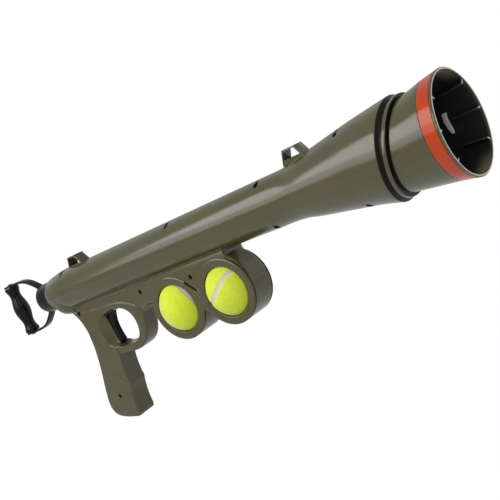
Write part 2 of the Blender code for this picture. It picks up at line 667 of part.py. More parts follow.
# Plunger tube with a closed rear end
inner_r = TUBE_R - TUBE_WALL
bm = turned([(TUBE_X[0], 0), (TUBE_X[0], TUBE_R - TUBE_WALL / 2), (TUBE_X[0] + TUBE_WALL / 2, TUBE_R),
             (TUBE_X[1], TUBE_R),
             (TUBE_X[1], inner_r), (TUBE_X[0] + 1.5 * TUBE_WALL, inner_r),
             (TUBE_X[0] + 1.5 * TUBE_WALL, 0)], FINE)
plunger_tube = piece(bm, "plunger_tube", BLACK, 0.35)
bm = bmesh.new()
for z in (-BOW_BOLT_Z, BOW_BOLT_Z):
    revolve(bm, [(TUBE_X[0] - PAST, 0), (TUBE_X[0] - PAST, BOW_BOLT_R + GAP),
                 (TUBE_X[0] + PAST + BOW_BOLT_LONG, BOW_BOLT_R + GAP),
                 (TUBE_X[0] + PAST + BOW_BOLT_LONG,
                  0)], SMALL, Matrix.Translation((0, 0, AXIS_Z + z)), False)
bolt_bores = tool(bm, "bow_bolts")
boolean(plunger_tube, bolt_bores, "DIFFERENCE")

# Plug at the tube's front end, rod through it, nut behind it
plug_x = TUBE_X[1] - PLUG_LONG
bm = turned([(plug_x, ROD_R + GAP), (plug_x, inner_r - GAP), (TUBE_X[1], inner_r - GAP),
             (TUBE_X[1], ROD_R + GAP)], FINE, closed=True)
plunger_plug = piece(bm, "plunger_plug", BLACK, 0.45)
bm = turned([(ROD_X[0], 0), (ROD_X[0], ROD_R), (ROD_X[1], ROD_R), (ROD_X[1], 0)], ROUND)
plunger_rod = piece(bm, "plunger_rod", STEEL, 0.3, 1.0)
hex_in = bmesh.new()
revolve(hex_in, [(plug_x - GAP - NUT_TALL - PAST, 0), (plug_x - GAP - NUT_TALL - PAST, ROD_R + GAP),
                 (plug_x - GAP + PAST, ROD_R + GAP),
                 (plug_x - GAP + PAST, 0)], ROUND, ALONG_X, False)
bm = turned([(plug_x - GAP - NUT_TALL, 0), (plug_x - GAP - NUT_TALL, NUT_R), (plug_x - GAP, NUT_R),
             (plug_x - GAP, 0)], 6)
rod_nut = piece(bm, "rod_nut", STEEL, 0.35, 1.0)
boolean(rod_nut, tool(hex_in, "nut_bore"), "DIFFERENCE")

# Rear guide ring, spring plate and stop bumper, fixed in the shell
bm = turned([(GUIDE_X[0], TUBE_R + GAP), (GUIDE_X[0], GUIDE_R), (GUIDE_X[1], GUIDE_R),
             (GUIDE_X[1], TUBE_R + GAP)], FINE, closed=True)
rear_guide_ring = piece(bm, "rear_guide_ring", BLACK, 0.5)
plate_r = barrel_r(PLATE_X[0]) - SHELL_WALL - GAP
bm = turned([(PLATE_X[0], ROD_R + GAP), (PLATE_X[0], plate_r), (PLATE_X[1], plate_r),
             (PLATE_X[1], ROD_R + GAP)], FINE, closed=True)
spring_plate = piece(bm, "spring_plate", BLACK, 0.5)
bump_x = PLATE_X[0] - GAP - BUMPER_LONG
bm = turned([(bump_x, BUMPER_R[0]), (bump_x, BUMPER_R[1]), (PLATE_X[0] - GAP, BUMPER_R[1]),
             (PLATE_X[0] - GAP, BUMPER_R[0])], ROUND, closed=True)
stop_bumper = piece(bm, "stop_bumper", RUBBER, 0.8)

# Head on the rod, with a soft pad that meets the ball
bm = turned([(ROD_X[1] + GAP, 0), (ROD_X[1] + GAP, ROD_R + GAP), (HEAD_X[0], ROD_R + GAP),
             (HEAD_X[0], HEAD_BOSS_R),
             (HEAD_X[0] + PAST, HEAD_R), (HEAD_X[1], HEAD_R), (HEAD_X[1], 0)], FINE)
plunger_head = piece(bm, "plunger_head", BLACK, 0.4)
pad_x = HEAD_X[1] + GAP
bm = turned([(pad_x, 0), (pad_x, PAD_R), (pad_x + PAD_LONG * 0.6, PAD_R),
             (pad_x + PAD_LONG, PAD_R - PAD_LONG * 0.4), (pad_x + PAD_LONG, 0)], FINE)
head_pad = piece(bm, "head_pad", PALE, 0.7)


def coil(name, start, end, radius, wire, turns, steps, place, colour, rough, metal):
    """A helical wire with round section and closed ends, its axis along X before placing."""
    bm = bmesh.new()
    sides = 4
    rings = []
    count = int(turns * steps)
    length = (end - start) - 2 * wire
    for k in range(count + 1):
        share = k / count
        turn = 2 * math.pi * turns * share
        centre = Vector((start + wire + length * share, radius * math.cos(turn), radius * math.sin(turn)))
        out = Vector((0, math.cos(turn), math.sin(turn)))
        rings.append([bm.verts.new(place @ (centre + out * wire * math.cos(2 * math.pi * j / sides)
                                            + Vector((1, 0, 0)) * wire * math.sin(2 * math.pi * j / sides)))
                      for j in range(sides)])
    for a, b in zip(rings[:-1], rings[1:]):
        for j in range(sides):
            n = (j + 1) % sides
            bm.faces.new((a[j], a[n], b[n], b[j]))
    bm.faces.new(rings[0])
    bm.faces.new(rings[-1])
    return piece(bm, name, colour, rough, metal)


drive_spring = coil("drive_spring", PLATE_X[1] + GAP, HEAD_X[0] - GAP, SPRING_R, SPRING_WIRE,
                    SPRING_TURNS, SPRING_STEPS,
                    ALONG_X, STEEL, 0.35, 1.0)

# Pull handle: bent strap bolted to the tube's end, pin, turning grip
def ribbon(line, thick):
    left, right = [], []
    for k, point in enumerate(line):
        p = Vector(point)
        before = Vector(line[max(k - 1, 0)])
        after = Vector(line[min(k + 1, len(line) - 1)])
        way = (after - before).normalized()
        side = Vector((-way.y, way.x)) * thick / 2
        left.append(tuple(p + side))
        right.append(tuple(p - side))
    return left + right[::-1]


bow_line = [(x, -z) for x, z in reversed(BOW_LINE[1:])] + BOW_LINE
bow_line = [(x, z + AXIS_Z) for x, z in bow_line]
bm = bmesh.new()
slab(bm, ribbon(bow_line, BOW_THICK), -BOW_HALF, BOW_HALF)
pull_bow = piece(bm, "pull_bow", BLACK, 0.35)
boolean(pull_bow, bolt_bores, "DIFFERENCE")
bm = bmesh.new()
bow_z = BOW_LINE[-1][1]
for z in (-bow_z, bow_z):
    revolve(bm, [(z - PAST, 0), (z - PAST, PIN_R + GAP), (z + PAST, PIN_R + GAP), (z + PAST, 0)], SMALL,
            along_z(GRIP_X, AXIS_Z), False)
boolean(pull_bow, tool(bm, "pin_bores"), "DIFFERENCE")

half = GRIP_LONG / 2
profile = [(share_z * half, share_r * GRIP_R) for share_z, share_r in GRIP_SHARES]
profile = [(-half, PIN_R + GAP)] + profile + [(half, PIN_R + GAP)]
bm = turned(profile, ROUND, along_z(GRIP_X, AXIS_Z), closed=True)
pull_grip = piece(bm, "pull_grip", BLACK, 0.3, origin=(GRIP_X, 0, AXIS_Z))

far = bow_z + BOW_THICK / 2 + GAP
bm = turned([(-far - PIN_HEAD_TALL, 0), (-far - PIN_HEAD_TALL, PIN_HEAD_R * 0.8), (-far, PIN_HEAD_R),
             (-far, PIN_R), (far, PIN_R),
             (far, PIN_HEAD_R), (far + PIN_HEAD_TALL, PIN_HEAD_R * 0.8), (far + PIN_HEAD_TALL, 0)],
             SMALL, along_z(GRIP_X, AXIS_Z))
grip_pin = piece(bm, "grip_pin", BLACK, 0.4)

head_x = BOW_LINE[0][0] - BOW_THICK / 2 - GAP
bm = turned([(head_x - BOW_BOLT_HEAD_TALL, 0), (head_x - BOW_BOLT_HEAD_TALL, BOW_BOLT_HEAD_R * 0.75),
             (head_x, BOW_BOLT_HEAD_R),
             (head_x, BOW_BOLT_R), (head_x + BOW_BOLT_LONG, BOW_BOLT_R), (head_x + BOW_BOLT_LONG, 0)],
             SMALL, Matrix.Identity(4))
bow_screw_1 = piece(bm, "bow_screw_1", STEEL, 0.35, 1.0)
bow_screw_1.location = (0, 0, AXIS_Z - BOW_BOLT_Z)
bow_screw_2 = bpy.data.objects.new("bow_screw_2", bow_screw_1.data)
bow_screw_2.location = (0, 0, AXIS_Z + BOW_BOLT_Z)
bpy.context.scene.collection.objects.link(bow_screw_2)

# Trigger, sear and their pins and springs
bm = bmesh.new()
slab(bm, TRIGGER, -TRIGGER_HALF, TRIGGER_HALF, TRIGGER_HALF / 8, both=True)
trigger = piece(bm, "trigger", BLACK, 0.35, origin=(TRIGGER_PIN[0], 0, TRIGGER_PIN[1]))
bm = bmesh.new()
rod(bm, 0, 0, -2 * TRIGGER_HALF, 2 * TRIGGER_HALF, LOCK_PIN_R + GAP, SMALL)
bm.transform(Matrix.Translation((TRIGGER_PIN[0], 0, TRIGGER_PIN[1])))
boolean(trigger, tool(bm, "trigger_bore"), "DIFFERENCE")

bm = bmesh.new()
slab(bm, SEAR, -SEAR_HALF, SEAR_HALF)
sear = piece(bm, "sear", STEEL, 0.4, 1.0, origin=(SEAR_PIN[0], 0, SEAR_PIN[1]))
bm = bmesh.new()
rod(bm, SEAR_PIN[0], SEAR_PIN[1], -2 * SEAR_HALF, 2 * SEAR_HALF, LOCK_PIN_R + GAP, SMALL)
boolean(sear, tool(bm, "sear_bore"), "DIFFERENCE")

for name, (x, z) in (("trigger_pin", TRIGGER_PIN), ("sear_pin", SEAR_PIN)):
    bm = bmesh.new()
    rod(bm, x, z, -LOCK_PIN_HALF, LOCK_PIN_HALF, LOCK_PIN_R, SMALL)
    piece(bm, name, STEEL, 0.3, 1.0)

trigger_spring = coil("trigger_spring", TRIGGER_SPRING_X[0] + GAP, TRIGGER_SPRING_X[1] - GAP,
                      TRIGGER_SPRING_R, LIGHT_WIRE,
                      TRIGGER_SPRING_TURNS, TINY, Matrix.Translation((0, 0, TRIGGER_SPRING_Z)), STEEL,
                      0.35, 1.0)
sear_spring = coil("sear_spring", SEAR_SPRING_Y[0], SEAR_SPRING_Y[1], SEAR_SPRING_R, SEAR_WIRE,
                   SEAR_SPRING_TURNS, TINY,
                   along_y(*SEAR_PIN), STEEL, 0.35, 1.0)

# Balls in the pods
for name, x in (("rear_ball", POD_X[0]), ("front_ball", POD_X[1])):
    profile = [(-BALL_R * math.cos(math.pi * k / TINY),
                BALL_R * math.sin(math.pi * k / TINY)) for k in range(TINY + 1)]
    profile[0] = (-BALL_R, 0)
    profile[-1] = (BALL_R, 0)
    bm = turned(profile, ROUND, along_y(x, POD_Z))
    piece(bm, name, FELT, 0.95, origin=(x, 0, POD_Z))

# Shell screws: one mesh for each length, one object for each screw
screw_meshes = {}
for number, (x, z, seat) in enumerate(SCREWS, 1):
    if seat not in screw_meshes:
        tip = seat - SHELL_WALL / 2
        bm = turned([(-seat - GAP - SCREW_HEAD_TALL, 0),
                     (-seat - GAP - SCREW_HEAD_TALL, SCREW_HEAD_R * 0.8),
                     (-seat - GAP, SCREW_HEAD_R), (-seat - GAP, SCREW_R), (tip, SCREW_R), (tip, 0)],
                     TINY, along_y(0, 0))
        screw_meshes[seat] = piece(bm, "shell_screw_%d" % number, STEEL, 0.4, 1.0)
        screw_meshes[seat].location = (x, 0, z)
    else:
        copy = bpy.data.objects.new("shell_screw_%d" % number, screw_meshes[seat].data)
        copy.location = (x, 0, z)
        bpy.context.scene.collection.objects.link(copy)
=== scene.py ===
# %% [markdown]
# # A spring launcher for tennis balls
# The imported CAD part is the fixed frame: it says where each piece is and what it moves with.
# This lesson dresses it: the moulded shell, mouth cup, handle, trigger, screws and balls are
# modelled again with finer forms, and every piece gets a procedural finish.

# %% Load the frame
import json
import math

import bpy
from mathutils import Euler, Matrix, Vector, kdtree, noise

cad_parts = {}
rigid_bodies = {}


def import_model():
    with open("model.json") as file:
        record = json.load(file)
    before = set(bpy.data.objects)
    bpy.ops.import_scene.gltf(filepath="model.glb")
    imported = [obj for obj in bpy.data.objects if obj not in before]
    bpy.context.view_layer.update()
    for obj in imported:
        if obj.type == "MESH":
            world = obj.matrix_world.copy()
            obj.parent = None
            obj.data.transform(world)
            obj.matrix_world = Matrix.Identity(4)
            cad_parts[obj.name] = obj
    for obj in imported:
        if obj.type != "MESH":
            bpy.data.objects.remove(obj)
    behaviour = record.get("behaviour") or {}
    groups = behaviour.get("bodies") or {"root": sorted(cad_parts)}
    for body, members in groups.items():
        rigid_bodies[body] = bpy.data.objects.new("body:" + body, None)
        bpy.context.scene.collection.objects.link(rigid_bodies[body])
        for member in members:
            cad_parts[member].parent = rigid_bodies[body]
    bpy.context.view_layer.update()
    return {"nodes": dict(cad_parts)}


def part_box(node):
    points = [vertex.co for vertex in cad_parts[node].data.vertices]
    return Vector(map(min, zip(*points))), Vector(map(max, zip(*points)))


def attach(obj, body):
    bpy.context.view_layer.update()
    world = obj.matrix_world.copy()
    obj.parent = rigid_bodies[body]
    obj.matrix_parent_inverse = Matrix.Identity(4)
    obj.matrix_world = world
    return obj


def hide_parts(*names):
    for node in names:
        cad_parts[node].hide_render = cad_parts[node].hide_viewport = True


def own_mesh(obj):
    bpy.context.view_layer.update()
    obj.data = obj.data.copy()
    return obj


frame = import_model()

# %% [markdown]
# ## The camera
# The photograph looks at the launcher from its front right, a little above it, and the picture is
# turned so that the tube climbs to the right. The lens is long, so the mouth is only a little
# larger than the rear. The camera's three axes are written from a heading, a tilt and a roll.

# %% Camera
CAMERA_SPOT = Vector((0.8946, -0.6873, 0.1732))
HEADING = math.radians(40.6)
TILT = math.radians(5.5)
ROLL = math.radians(25.67)
SENSOR, CLIP_END = 36.0, 20
FOCAL_PIXELS, PICTURE_PIXELS = 816.06, 500

ahead = Vector((-math.sin(HEADING) * math.cos(TILT), math.cos(HEADING) * math.cos(TILT), -math.sin(TILT)))
level = Vector((math.cos(HEADING), math.sin(HEADING), 0))
upward = level.cross(ahead)
right = math.cos(ROLL) * level - math.sin(ROLL) * upward
top = math.cos(ROLL) * upward + math.sin(ROLL) * level
bpy.ops.object.select_all(action="DESELECT")
bpy.ops.object.camera_add()
camera = bpy.context.object
camera.matrix_world = Matrix.Translation(CAMERA_SPOT) @ Matrix((right, top, -ahead)).transposed().to_4x4()
camera.data.sensor_width = SENSOR
camera.data.lens = SENSOR * FOCAL_PIXELS / PICTURE_PIXELS
camera.data.clip_end = CLIP_END
bpy.context.scene.camera = camera
bpy.context.scene.view_settings.view_transform = "Standard"
print("lens", round(camera.data.lens, 2))

# %% [markdown]
# ## Shader nodes in short
# World, floor and materials are all built from nodes. One small class adds a node, sets its
# inputs by label, and links those that are given another node's socket. The steps that are
# used most, such as a sum or a noise, have a short name.

# %% Graph
class Graph:
    """A node tree: a value that is a socket gets linked, any other value is set."""

    def __init__(self, tree):
        self.nodes, self.links = tree.nodes, tree.links

    def fill(self, node, inputs):
        for key, value in inputs.items():
            if isinstance(value, bpy.types.NodeSocket):
                self.links.new(value, node.inputs[key])
            else:
                node.inputs[key].default_value = value

    def add(self, kind, inputs=None, **settings):
        node = self.nodes.new("ShaderNode" + kind)
        for key, value in settings.items():
            setattr(node, key, value)
        self.fill(node, inputs or {})
        return node

    def maths(self, operation, a, b=0.0, clamp=False):
        return self.add("Math", {0: a, 1: b}, operation=operation, use_clamp=clamp).outputs[0]

    def soft_step(self, value, start, end, high=1.0):
        """Rises smoothly from 0 to a value between two stations."""
        inputs = {"Value": value, "From Min": start, "From Max": end, "To Max": high}
        return self.add("MapRange", inputs, interpolation_type="SMOOTHSTEP").outputs["Result"]

    def noise(self, vector, scale, detail=3.0, rough=0.5):
        inputs = {"Vector": vector, "Scale": scale, "Detail": detail, "Roughness": rough}
        return self.add("TexNoise", inputs).outputs["Fac"]

    def ramp(self, value, *stops):
        node = self.add("ValToRGB", {"Fac": value})
        for element, (position, colour) in zip(node.color_ramp.elements, stops):
            element.position = position
            element.color = (*colour, 1)
        return node.outputs["Color"]

    def bump(self, height, distance, strength):
        inputs = {"Height": height, "Distance": distance, "Strength": strength}
        return self.add("Bump", inputs).outputs["Normal"]

    def mix(self, share, a, b):
        return self.add("Mix", {"Factor": share, "A": a, "B": b}, data_type="RGBA").outputs["Result"]


def new_material(name):
    """A material, its graph and its Principled shader."""
    mat = bpy.data.materials.new(name)
    mat.use_nodes = True
    graph = Graph(mat.node_tree)
    return mat, graph, graph.nodes["Principled BSDF"]


print("graph ready")

# %% [markdown]
# ## Studio
# The long pale reflection on the tube comes from one near softbox that stands at the launcher's
# rear right. Its lower part is weaker, so the reflection fades downwards. The room is white behind
# and below the launcher and half as bright above it and on the camera's side, which is what the
# gloss of the plastic mirrors. The floor lies well below, so that its shadow is soft.

# %% Lamps
TARGET = Vector((0.30, 0.0, 0.10))
# Each lamp: heading in degrees, distance, side edges, lower and upper edge from the target, glow
LAMPS = (("softbox", -142, 0.90, -0.13, 1.15, 0.42, 1.10, 4.4),
         ("softbox_foot", -142, 0.90, -0.13, 1.15, 0.15, 0.42, 2.2),
         ("fill", -38, 1.60, -0.5, 0.5, 0.45, 1.45, 1.3))


def softbox(name, heading, far, start, end, low, high, glow):
    """An upright area lamp that faces the target."""
    way = Vector((math.cos(math.radians(heading)), math.sin(math.radians(heading)), 0))
    sideways = Vector((-way.y, way.x, 0))
    bpy.ops.object.light_add(type="AREA")
    lamp = bpy.context.object
    lamp.name = name
    spot = TARGET + way * far + sideways * (start + end) / 2 + Vector((0, 0, (low + high) / 2))
    lamp.matrix_world = Matrix.Translation(spot) @ way.to_track_quat("Z", "Y").to_matrix().to_4x4()
    lamp.data.shape = "RECTANGLE"
    lamp.data.size, lamp.data.size_y = end - start, high - low
    lamp.data.energy = glow * math.pi * (end - start) * (high - low)
    print(name, "power", round(lamp.data.energy, 2))


for lamp in LAMPS:
    softbox(*lamp)

# %% World
WHITE = (1, 1, 1, 1)
ROOM_LIGHT, ROOM_DIM = 0.36, 0.5
# Headings and heights of the dimmer sides, in degrees, and where each starts and ends
FRONT_SIDE, FRONT_STEP = (-100, 10), (-0.2, 0.5)
BACK_SIDE, BACK_STEP = (133, 8), (0.80, 0.96)
TOP_STEP = (0.42, 0.71)
world = bpy.data.worlds.new("studio")
bpy.context.scene.world = world
world.use_nodes = True
sky = Graph(world.node_tree)
sky.nodes.clear()
rays = sky.add("LightPath").outputs
mirrored = sky.maths("MAXIMUM", rays["Is Glossy Ray"], rays["Is Transmission Ray"])
direct = sky.maths("MAXIMUM", rays["Is Camera Ray"], mirrored)
looks_to = sky.add("TexCoord").outputs["Generated"]


def towards(heading, height):
    """How nearly a ray points to a heading and height."""
    heading, height = math.radians(heading), math.radians(height)
    way = (math.cos(heading) * math.cos(height), math.sin(heading) * math.cos(height), math.sin(height))
    return sky.add("VectorMath", {0: looks_to, 1: way}, operation="DOT_PRODUCT").outputs["Value"]


front_dim = sky.soft_step(towards(*FRONT_SIDE), *FRONT_STEP, ROOM_DIM)
top_dim = sky.soft_step(sky.add("SeparateXYZ", {0: looks_to}).outputs["Z"], *TOP_STEP, ROOM_DIM)
back_dim = sky.maths("MULTIPLY", sky.soft_step(towards(*BACK_SIDE), *BACK_STEP, ROOM_DIM), mirrored)
dim = sky.maths("MAXIMUM", sky.maths("MAXIMUM", front_dim, top_dim), back_dim)
shown = sky.maths("MULTIPLY", sky.maths("SUBTRACT", 1.0, dim), direct)
lighting = sky.maths("MULTIPLY", ROOM_LIGHT, sky.maths("SUBTRACT", 1.0, direct))
room = sky.add("Background", {"Color": WHITE, "Strength": sky.maths("ADD", shown, lighting)})
sky.add("OutputWorld", {"Surface": room.outputs[0]})
print("world", len(sky.nodes), "nodes")

# %% Floor
FLOOR_Z, FLOOR_SIZE = -0.42, 8
FLOOR_GLOW, FLOOR_SHARE, FLOOR_MIRRORED = 1.09, 0.88, 0.6
bpy.ops.object.select_all(action="DESELECT")
bpy.ops.mesh.primitive_plane_add(size=FLOOR_SIZE, location=(0.2, 0, FLOOR_Z))
floor = bpy.context.object
floor.name = "floor"
floor_skin, ground, shader = new_material("pale_floor")
ground.fill(shader, {"Base Color": (0.88, 0.87, 0.85, 1), "Roughness": 0.9})
rays = ground.add("LightPath").outputs
mirrored = ground.maths("MULTIPLY", rays["Is Glossy Ray"], FLOOR_MIRRORED)
share = ground.maths("MULTIPLY", ground.maths("MAXIMUM", rays["Is Camera Ray"], mirrored), FLOOR_SHARE)
glow = ground.add("Emission", {"Color": WHITE, "Strength": FLOOR_GLOW})
both = ground.add("MixShader", {0: share, 1: shader.outputs[0], 2: glow.outputs[0]})
ground.fill(ground.nodes["Material Output"], {"Surface": both.outputs[0]})
floor.data.materials.append(floor_skin)
print("floor at", FLOOR_Z)

# %% [markdown]
# ## Shared tools
# All pieces are modelled with the same few steps: trace a line from point to point, spin it or
# push it into a slab, and combine closed forms. Each step is a short helper round Blender's own
# operators, and each one starts by clearing the selection, because an operator acts on all that
# is selected.

# %% Selecting and placing
MM = 0.001


def activate(ob):
    bpy.ops.object.select_all(action="DESELECT")
    ob.select_set(True)
    bpy.context.view_layer.objects.active = ob
    return ob


def settle(ob, name):
    """Give the object its name, and put its place into its mesh."""
    activate(ob)
    bpy.ops.object.transform_apply(location=True, rotation=True, scale=True)
    ob.name = name
    ob.data.name = name
    return ob


def edit(ob):
    activate(ob)
    bpy.ops.object.mode_set(mode="EDIT")
    bpy.ops.mesh.select_all(action="SELECT")


def leave():
    bpy.ops.object.mode_set(mode="OBJECT")


def trace(name, points, close=True):
    """Trace a line: one vertex, extruded from each point to the next, then filled if closed."""
    bpy.ops.object.select_all(action="DESELECT")
    bpy.ops.mesh.primitive_plane_add(size=MM, location=points[0])
    ob = bpy.context.object
    bpy.ops.object.mode_set(mode="EDIT")
    bpy.ops.mesh.merge(type="CENTER")
    for here, there in zip(points, points[1:]):
        step = [b - a for a, b in zip(here, there)]
        bpy.ops.mesh.extrude_region_move(TRANSFORM_OT_translate={"value": step})
    if close:
        bpy.ops.mesh.select_all(action="SELECT")
        bpy.ops.mesh.edge_face_add()
    leave()
    return settle(ob, name)


def tidy(ob):
    """Merge doubles and turn all faces outwards."""
    edit(ob)
    bpy.ops.mesh.remove_doubles(threshold=MM / 200)
    bpy.ops.mesh.normals_make_consistent(inside=False)
    leave()
    return ob


AXIS_Z = 0.125


def turned(name, profile, steps, centre=(0, 0, AXIS_Z), axis=(1, 0, 0), solid=False):
    """Spin a profile of (along, radius). A solid one ends on the axis; the others are closed loops."""
    centre, axis = Vector(centre), Vector(axis)
    side = Vector((0, 0, 1)) if abs(axis.z) < 0.5 else Vector((1, 0, 0))
    ob = trace(name, [centre + axis * a + side * r for a, r in profile], close=not solid)
    edit(ob)
    if not solid:
        bpy.ops.mesh.delete(type="ONLY_FACE")
        bpy.ops.mesh.select_all(action="SELECT")
    bpy.ops.mesh.spin(steps=steps, angle=2 * math.pi, center=centre, axis=axis)
    leave()
    return tidy(ob)


def smooth_line(points, per=3, closed=True):
    """Pass a smooth curve through outline points, with some steps between each two."""
    count = len(points)
    line = []
    for k in range(count if closed else count - 1):
        spots = [(k + j - 1) % count if closed else min(max(k + j - 1, 0), count - 1) for j in range(4)]
        p = [Vector(points[spot]) for spot in spots]
        for n in range(per):
            t = n / per
            line.append(tuple(0.5 * (2 * p[1] + (p[2] - p[0]) * t
                                     + (2 * p[0] - 5 * p[1] + 4 * p[2] - p[3]) * t ** 2
                                     + (3 * p[1] - p[0] - 3 * p[2] + p[3]) * t ** 3)))
    if not closed:
        line.append(tuple(points[-1]))
    return line


def modify(ob, kind, **settings):
    """Add a modifier, set it and apply it."""
    mod = activate(ob).modifiers.new(kind.lower(), kind)
    for key, value in settings.items():
        setattr(mod, key, value)
    bpy.ops.object.modifier_apply(modifier=mod.name)
    return ob


def bevel(ob, width, steps=3, angle=40):
    return modify(ob, "BEVEL", width=width, segments=steps, limit_method="ANGLE",
                  angle_limit=math.radians(angle))


def slab(name, outline, y0, y1, edge=0.0, steps=3, grow=None):
    """Push an X-Z outline along Y, growing it on the way if asked, and round its two rims."""
    ob = trace(name, [(x, y0, z) for x, z in outline])
    edit(ob)
    bpy.ops.mesh.extrude_region_move(TRANSFORM_OT_translate={"value": (0, y1 - y0, 0)})
    if grow:
        centre = [sum(p[k] for p in outline) / len(outline) for k in range(2)]
        bpy.ops.transform.resize(value=(grow[0], 1, grow[1]), center_override=(centre[0], y1, centre[1]))
    leave()
    tidy(ob)
    return bevel(ob, edge, steps) if edge else ob


def rect(x0, x1, z0, z1):
    """The outline of an upright rectangle."""
    return [(x0, z0), (x1, z0), (x1, z1), (x0, z1)]


def peg(name, start, end, radius, steps=24, centre=(0, 0, AXIS_Z), axis=(1, 0, 0)):
    """A plain round peg, used as a post or to cut a hole."""
    line = [(start, 0), (start, radius), (end, radius), (end, 0)]
    return turned(name, line, steps, centre, axis, solid=True)


def mm(points):
    """An outline written in millimetres."""
    return [(x / 1000, z / 1000) for x, z in points]


def combine(ob, other, operation="UNION"):
    """Join, cut or intersect two closed forms, and drop the second."""
    modify(ob, "BOOLEAN", operation=operation, solver="MANIFOLD", object=other)
    bpy.data.objects.remove(other, do_unlink=True)
    return ob


def cut(ob, other):
    return combine(ob, other, "DIFFERENCE")


def join(pieces, name):
    activate(pieces[0])
    for ob in pieces:
        ob.select_set(True)
    bpy.ops.object.join()
    return settle(bpy.context.object, name)


def copy_of(ob, name):
    """A copy with its own mesh."""
    activate(ob)
    bpy.ops.object.duplicate(linked=False)
    new = bpy.context.object
    new.name = name
    new.data.name = name
    return new


def soften(ob, angle=35):
    """Smooth shading that keeps edges sharper than an angle."""
    activate(ob)
    bpy.ops.object.shade_smooth_by_angle(angle=math.radians(angle))
    return ob


print("helpers ready")

# %% [markdown]
# ## Tube, dome and horn
# On the real launcher the tube is moulded in two halves with a 2.6 mm wall. Its section is round
# everywhere, so one closed profile, outside and inside, is spun round the axis. The collar at the
# horn's end leans forward at its top, which is a shear that grows towards the collar. The channel
# in front of the horn's edge is cut into the profile; its dark colour is painted shade, given later.

# %% Spun shell
GAP = 0.0003
WALL = 0.0026
DOME_X = -0.047
BARREL_X, BARREL_R = -0.005, 0.0272
HORN_X, HORN_R = 0.390, 0.0285
COLLAR_X, COLLAR_R = 0.531, 0.0500
THROAT_R = 0.0436
CUP_X, CUP_R, CUP_WALL = 0.594, 0.0519, 0.0023
SPIGOT = 0.0185
TUBE_R = 0.0205
RAKE, RAKE_FROM, RAKE_TO = 0.27, 0.490, 0.575
COLLAR_BAND, COLLAR_STEP = 0.0048, 0.0030
STEPS = 120


def barrel_r(x):
    """Outer radius of tube and horn, with a soft turn where the horn starts."""
    tube = BARREL_R + (HORN_R - BARREL_R) * (x - BARREL_X) / (HORN_X - BARREL_X)
    horn = HORN_R + (COLLAR_R - HORN_R) * (x - HORN_X) / (COLLAR_X - HORN_X)
    turn = 0.028
    if x <= HORN_X - turn:
        return tube
    if x >= HORN_X + turn:
        return horn
    share = (x - HORN_X + turn) / (2 * turn)
    return tube + (horn - tube) * share * share


def lean_weight(x):
    """How much of the collar's lean a station takes."""
    if x < COLLAR_X:
        return max(0.0, (x - RAKE_FROM) / (COLLAR_X - RAKE_FROM))
    return max(0.0, min(1.0, (RAKE_TO - x) / (RAKE_TO - COLLAR_X - 2 * COLLAR_BAND)))


def lean(ob):
    """Lean the collar: its top forward, its underside back."""
    for vert in ob.data.vertices:
        weight = lean_weight(vert.co.x)
        if weight:
            vert.co.x += RAKE * weight * (vert.co.z - AXIS_Z)
    return ob


def stations(start, end, count):
    return [start + (end - start) * k / count for k in range(count + 1)]


DOME_SHARES = [(0.0, 0.76), (0.035, 0.795), (0.10, 0.828), (0.20, 0.862), (0.45, 0.92), (0.75, 0.975),
               (1.0, 1.0)]
dome = [(DOME_X + s * (BARREL_X - DOME_X), r * BARREL_R) for s, r in DOME_SHARES]
dome = smooth_line(dome, 3, closed=False)
EDGE_X = 0.5262
CHANNEL_X = 0.5278
outside = dome + [(x, barrel_r(x)) for x in stations(BARREL_X, EDGE_X - 0.0009, 44)[1:]]
edge_r = barrel_r(EDGE_X)
outside += [(EDGE_X - 0.0003, edge_r - 0.0001), (EDGE_X, edge_r - 0.0005), (CHANNEL_X, 0.0463),
            (CHANNEL_X + 0.0008, 0.0454), (COLLAR_X, 0.0452)]
seat_x, seat_r = COLLAR_X - SPIGOT - GAP, THROAT_R + GAP
inside = [(COLLAR_X, seat_r), (seat_x, seat_r), (seat_x, barrel_r(seat_x) - 1.6 * WALL)]
inside += [(x, barrel_r(x) - WALL) for x in reversed(stations(0.100, RAKE_FROM, 26))]
PLATE_X = (0.084, 0.088)
RING_LONG, RING_R = 0.003, 0.0205
for start in (PLATE_X[1] + GAP, PLATE_X[0] - GAP - RING_LONG):
    end = start + RING_LONG
    inside += [(end, barrel_r(end) - WALL), (end, RING_R), (start, RING_R), (start, barrel_r(start) - WALL)]
inside += [(x, barrel_r(x) - WALL) for x in (0.06, 0.04, 0.02, 0.0)]
inside += [(-0.012, 0.0232), (-0.024, 0.0222), (-0.034, 0.0212), (DOME_X + 2.2 * WALL, TUBE_R + GAP),
           (DOME_X, TUBE_R + GAP)]
barrel = lean(turned("barrel", outside + inside, STEPS))
print("barrel", len(outside), "outer and", len(inside), "inner stations,", len(barrel.data.polygons), "faces")

# %% [markdown]
# ## Lower body
# The web, the trigger frame, the hand grip and the two ball rings are one moulding with soft
# transitions. Each is first a simple closed slab or disc; a voxel remesh then melts them into one
# skin, and a few rounds of smoothing leave the fillets that a mould has. A sleeve of the tube's
# own size goes into the melt, so that the fillets run up to the tube.

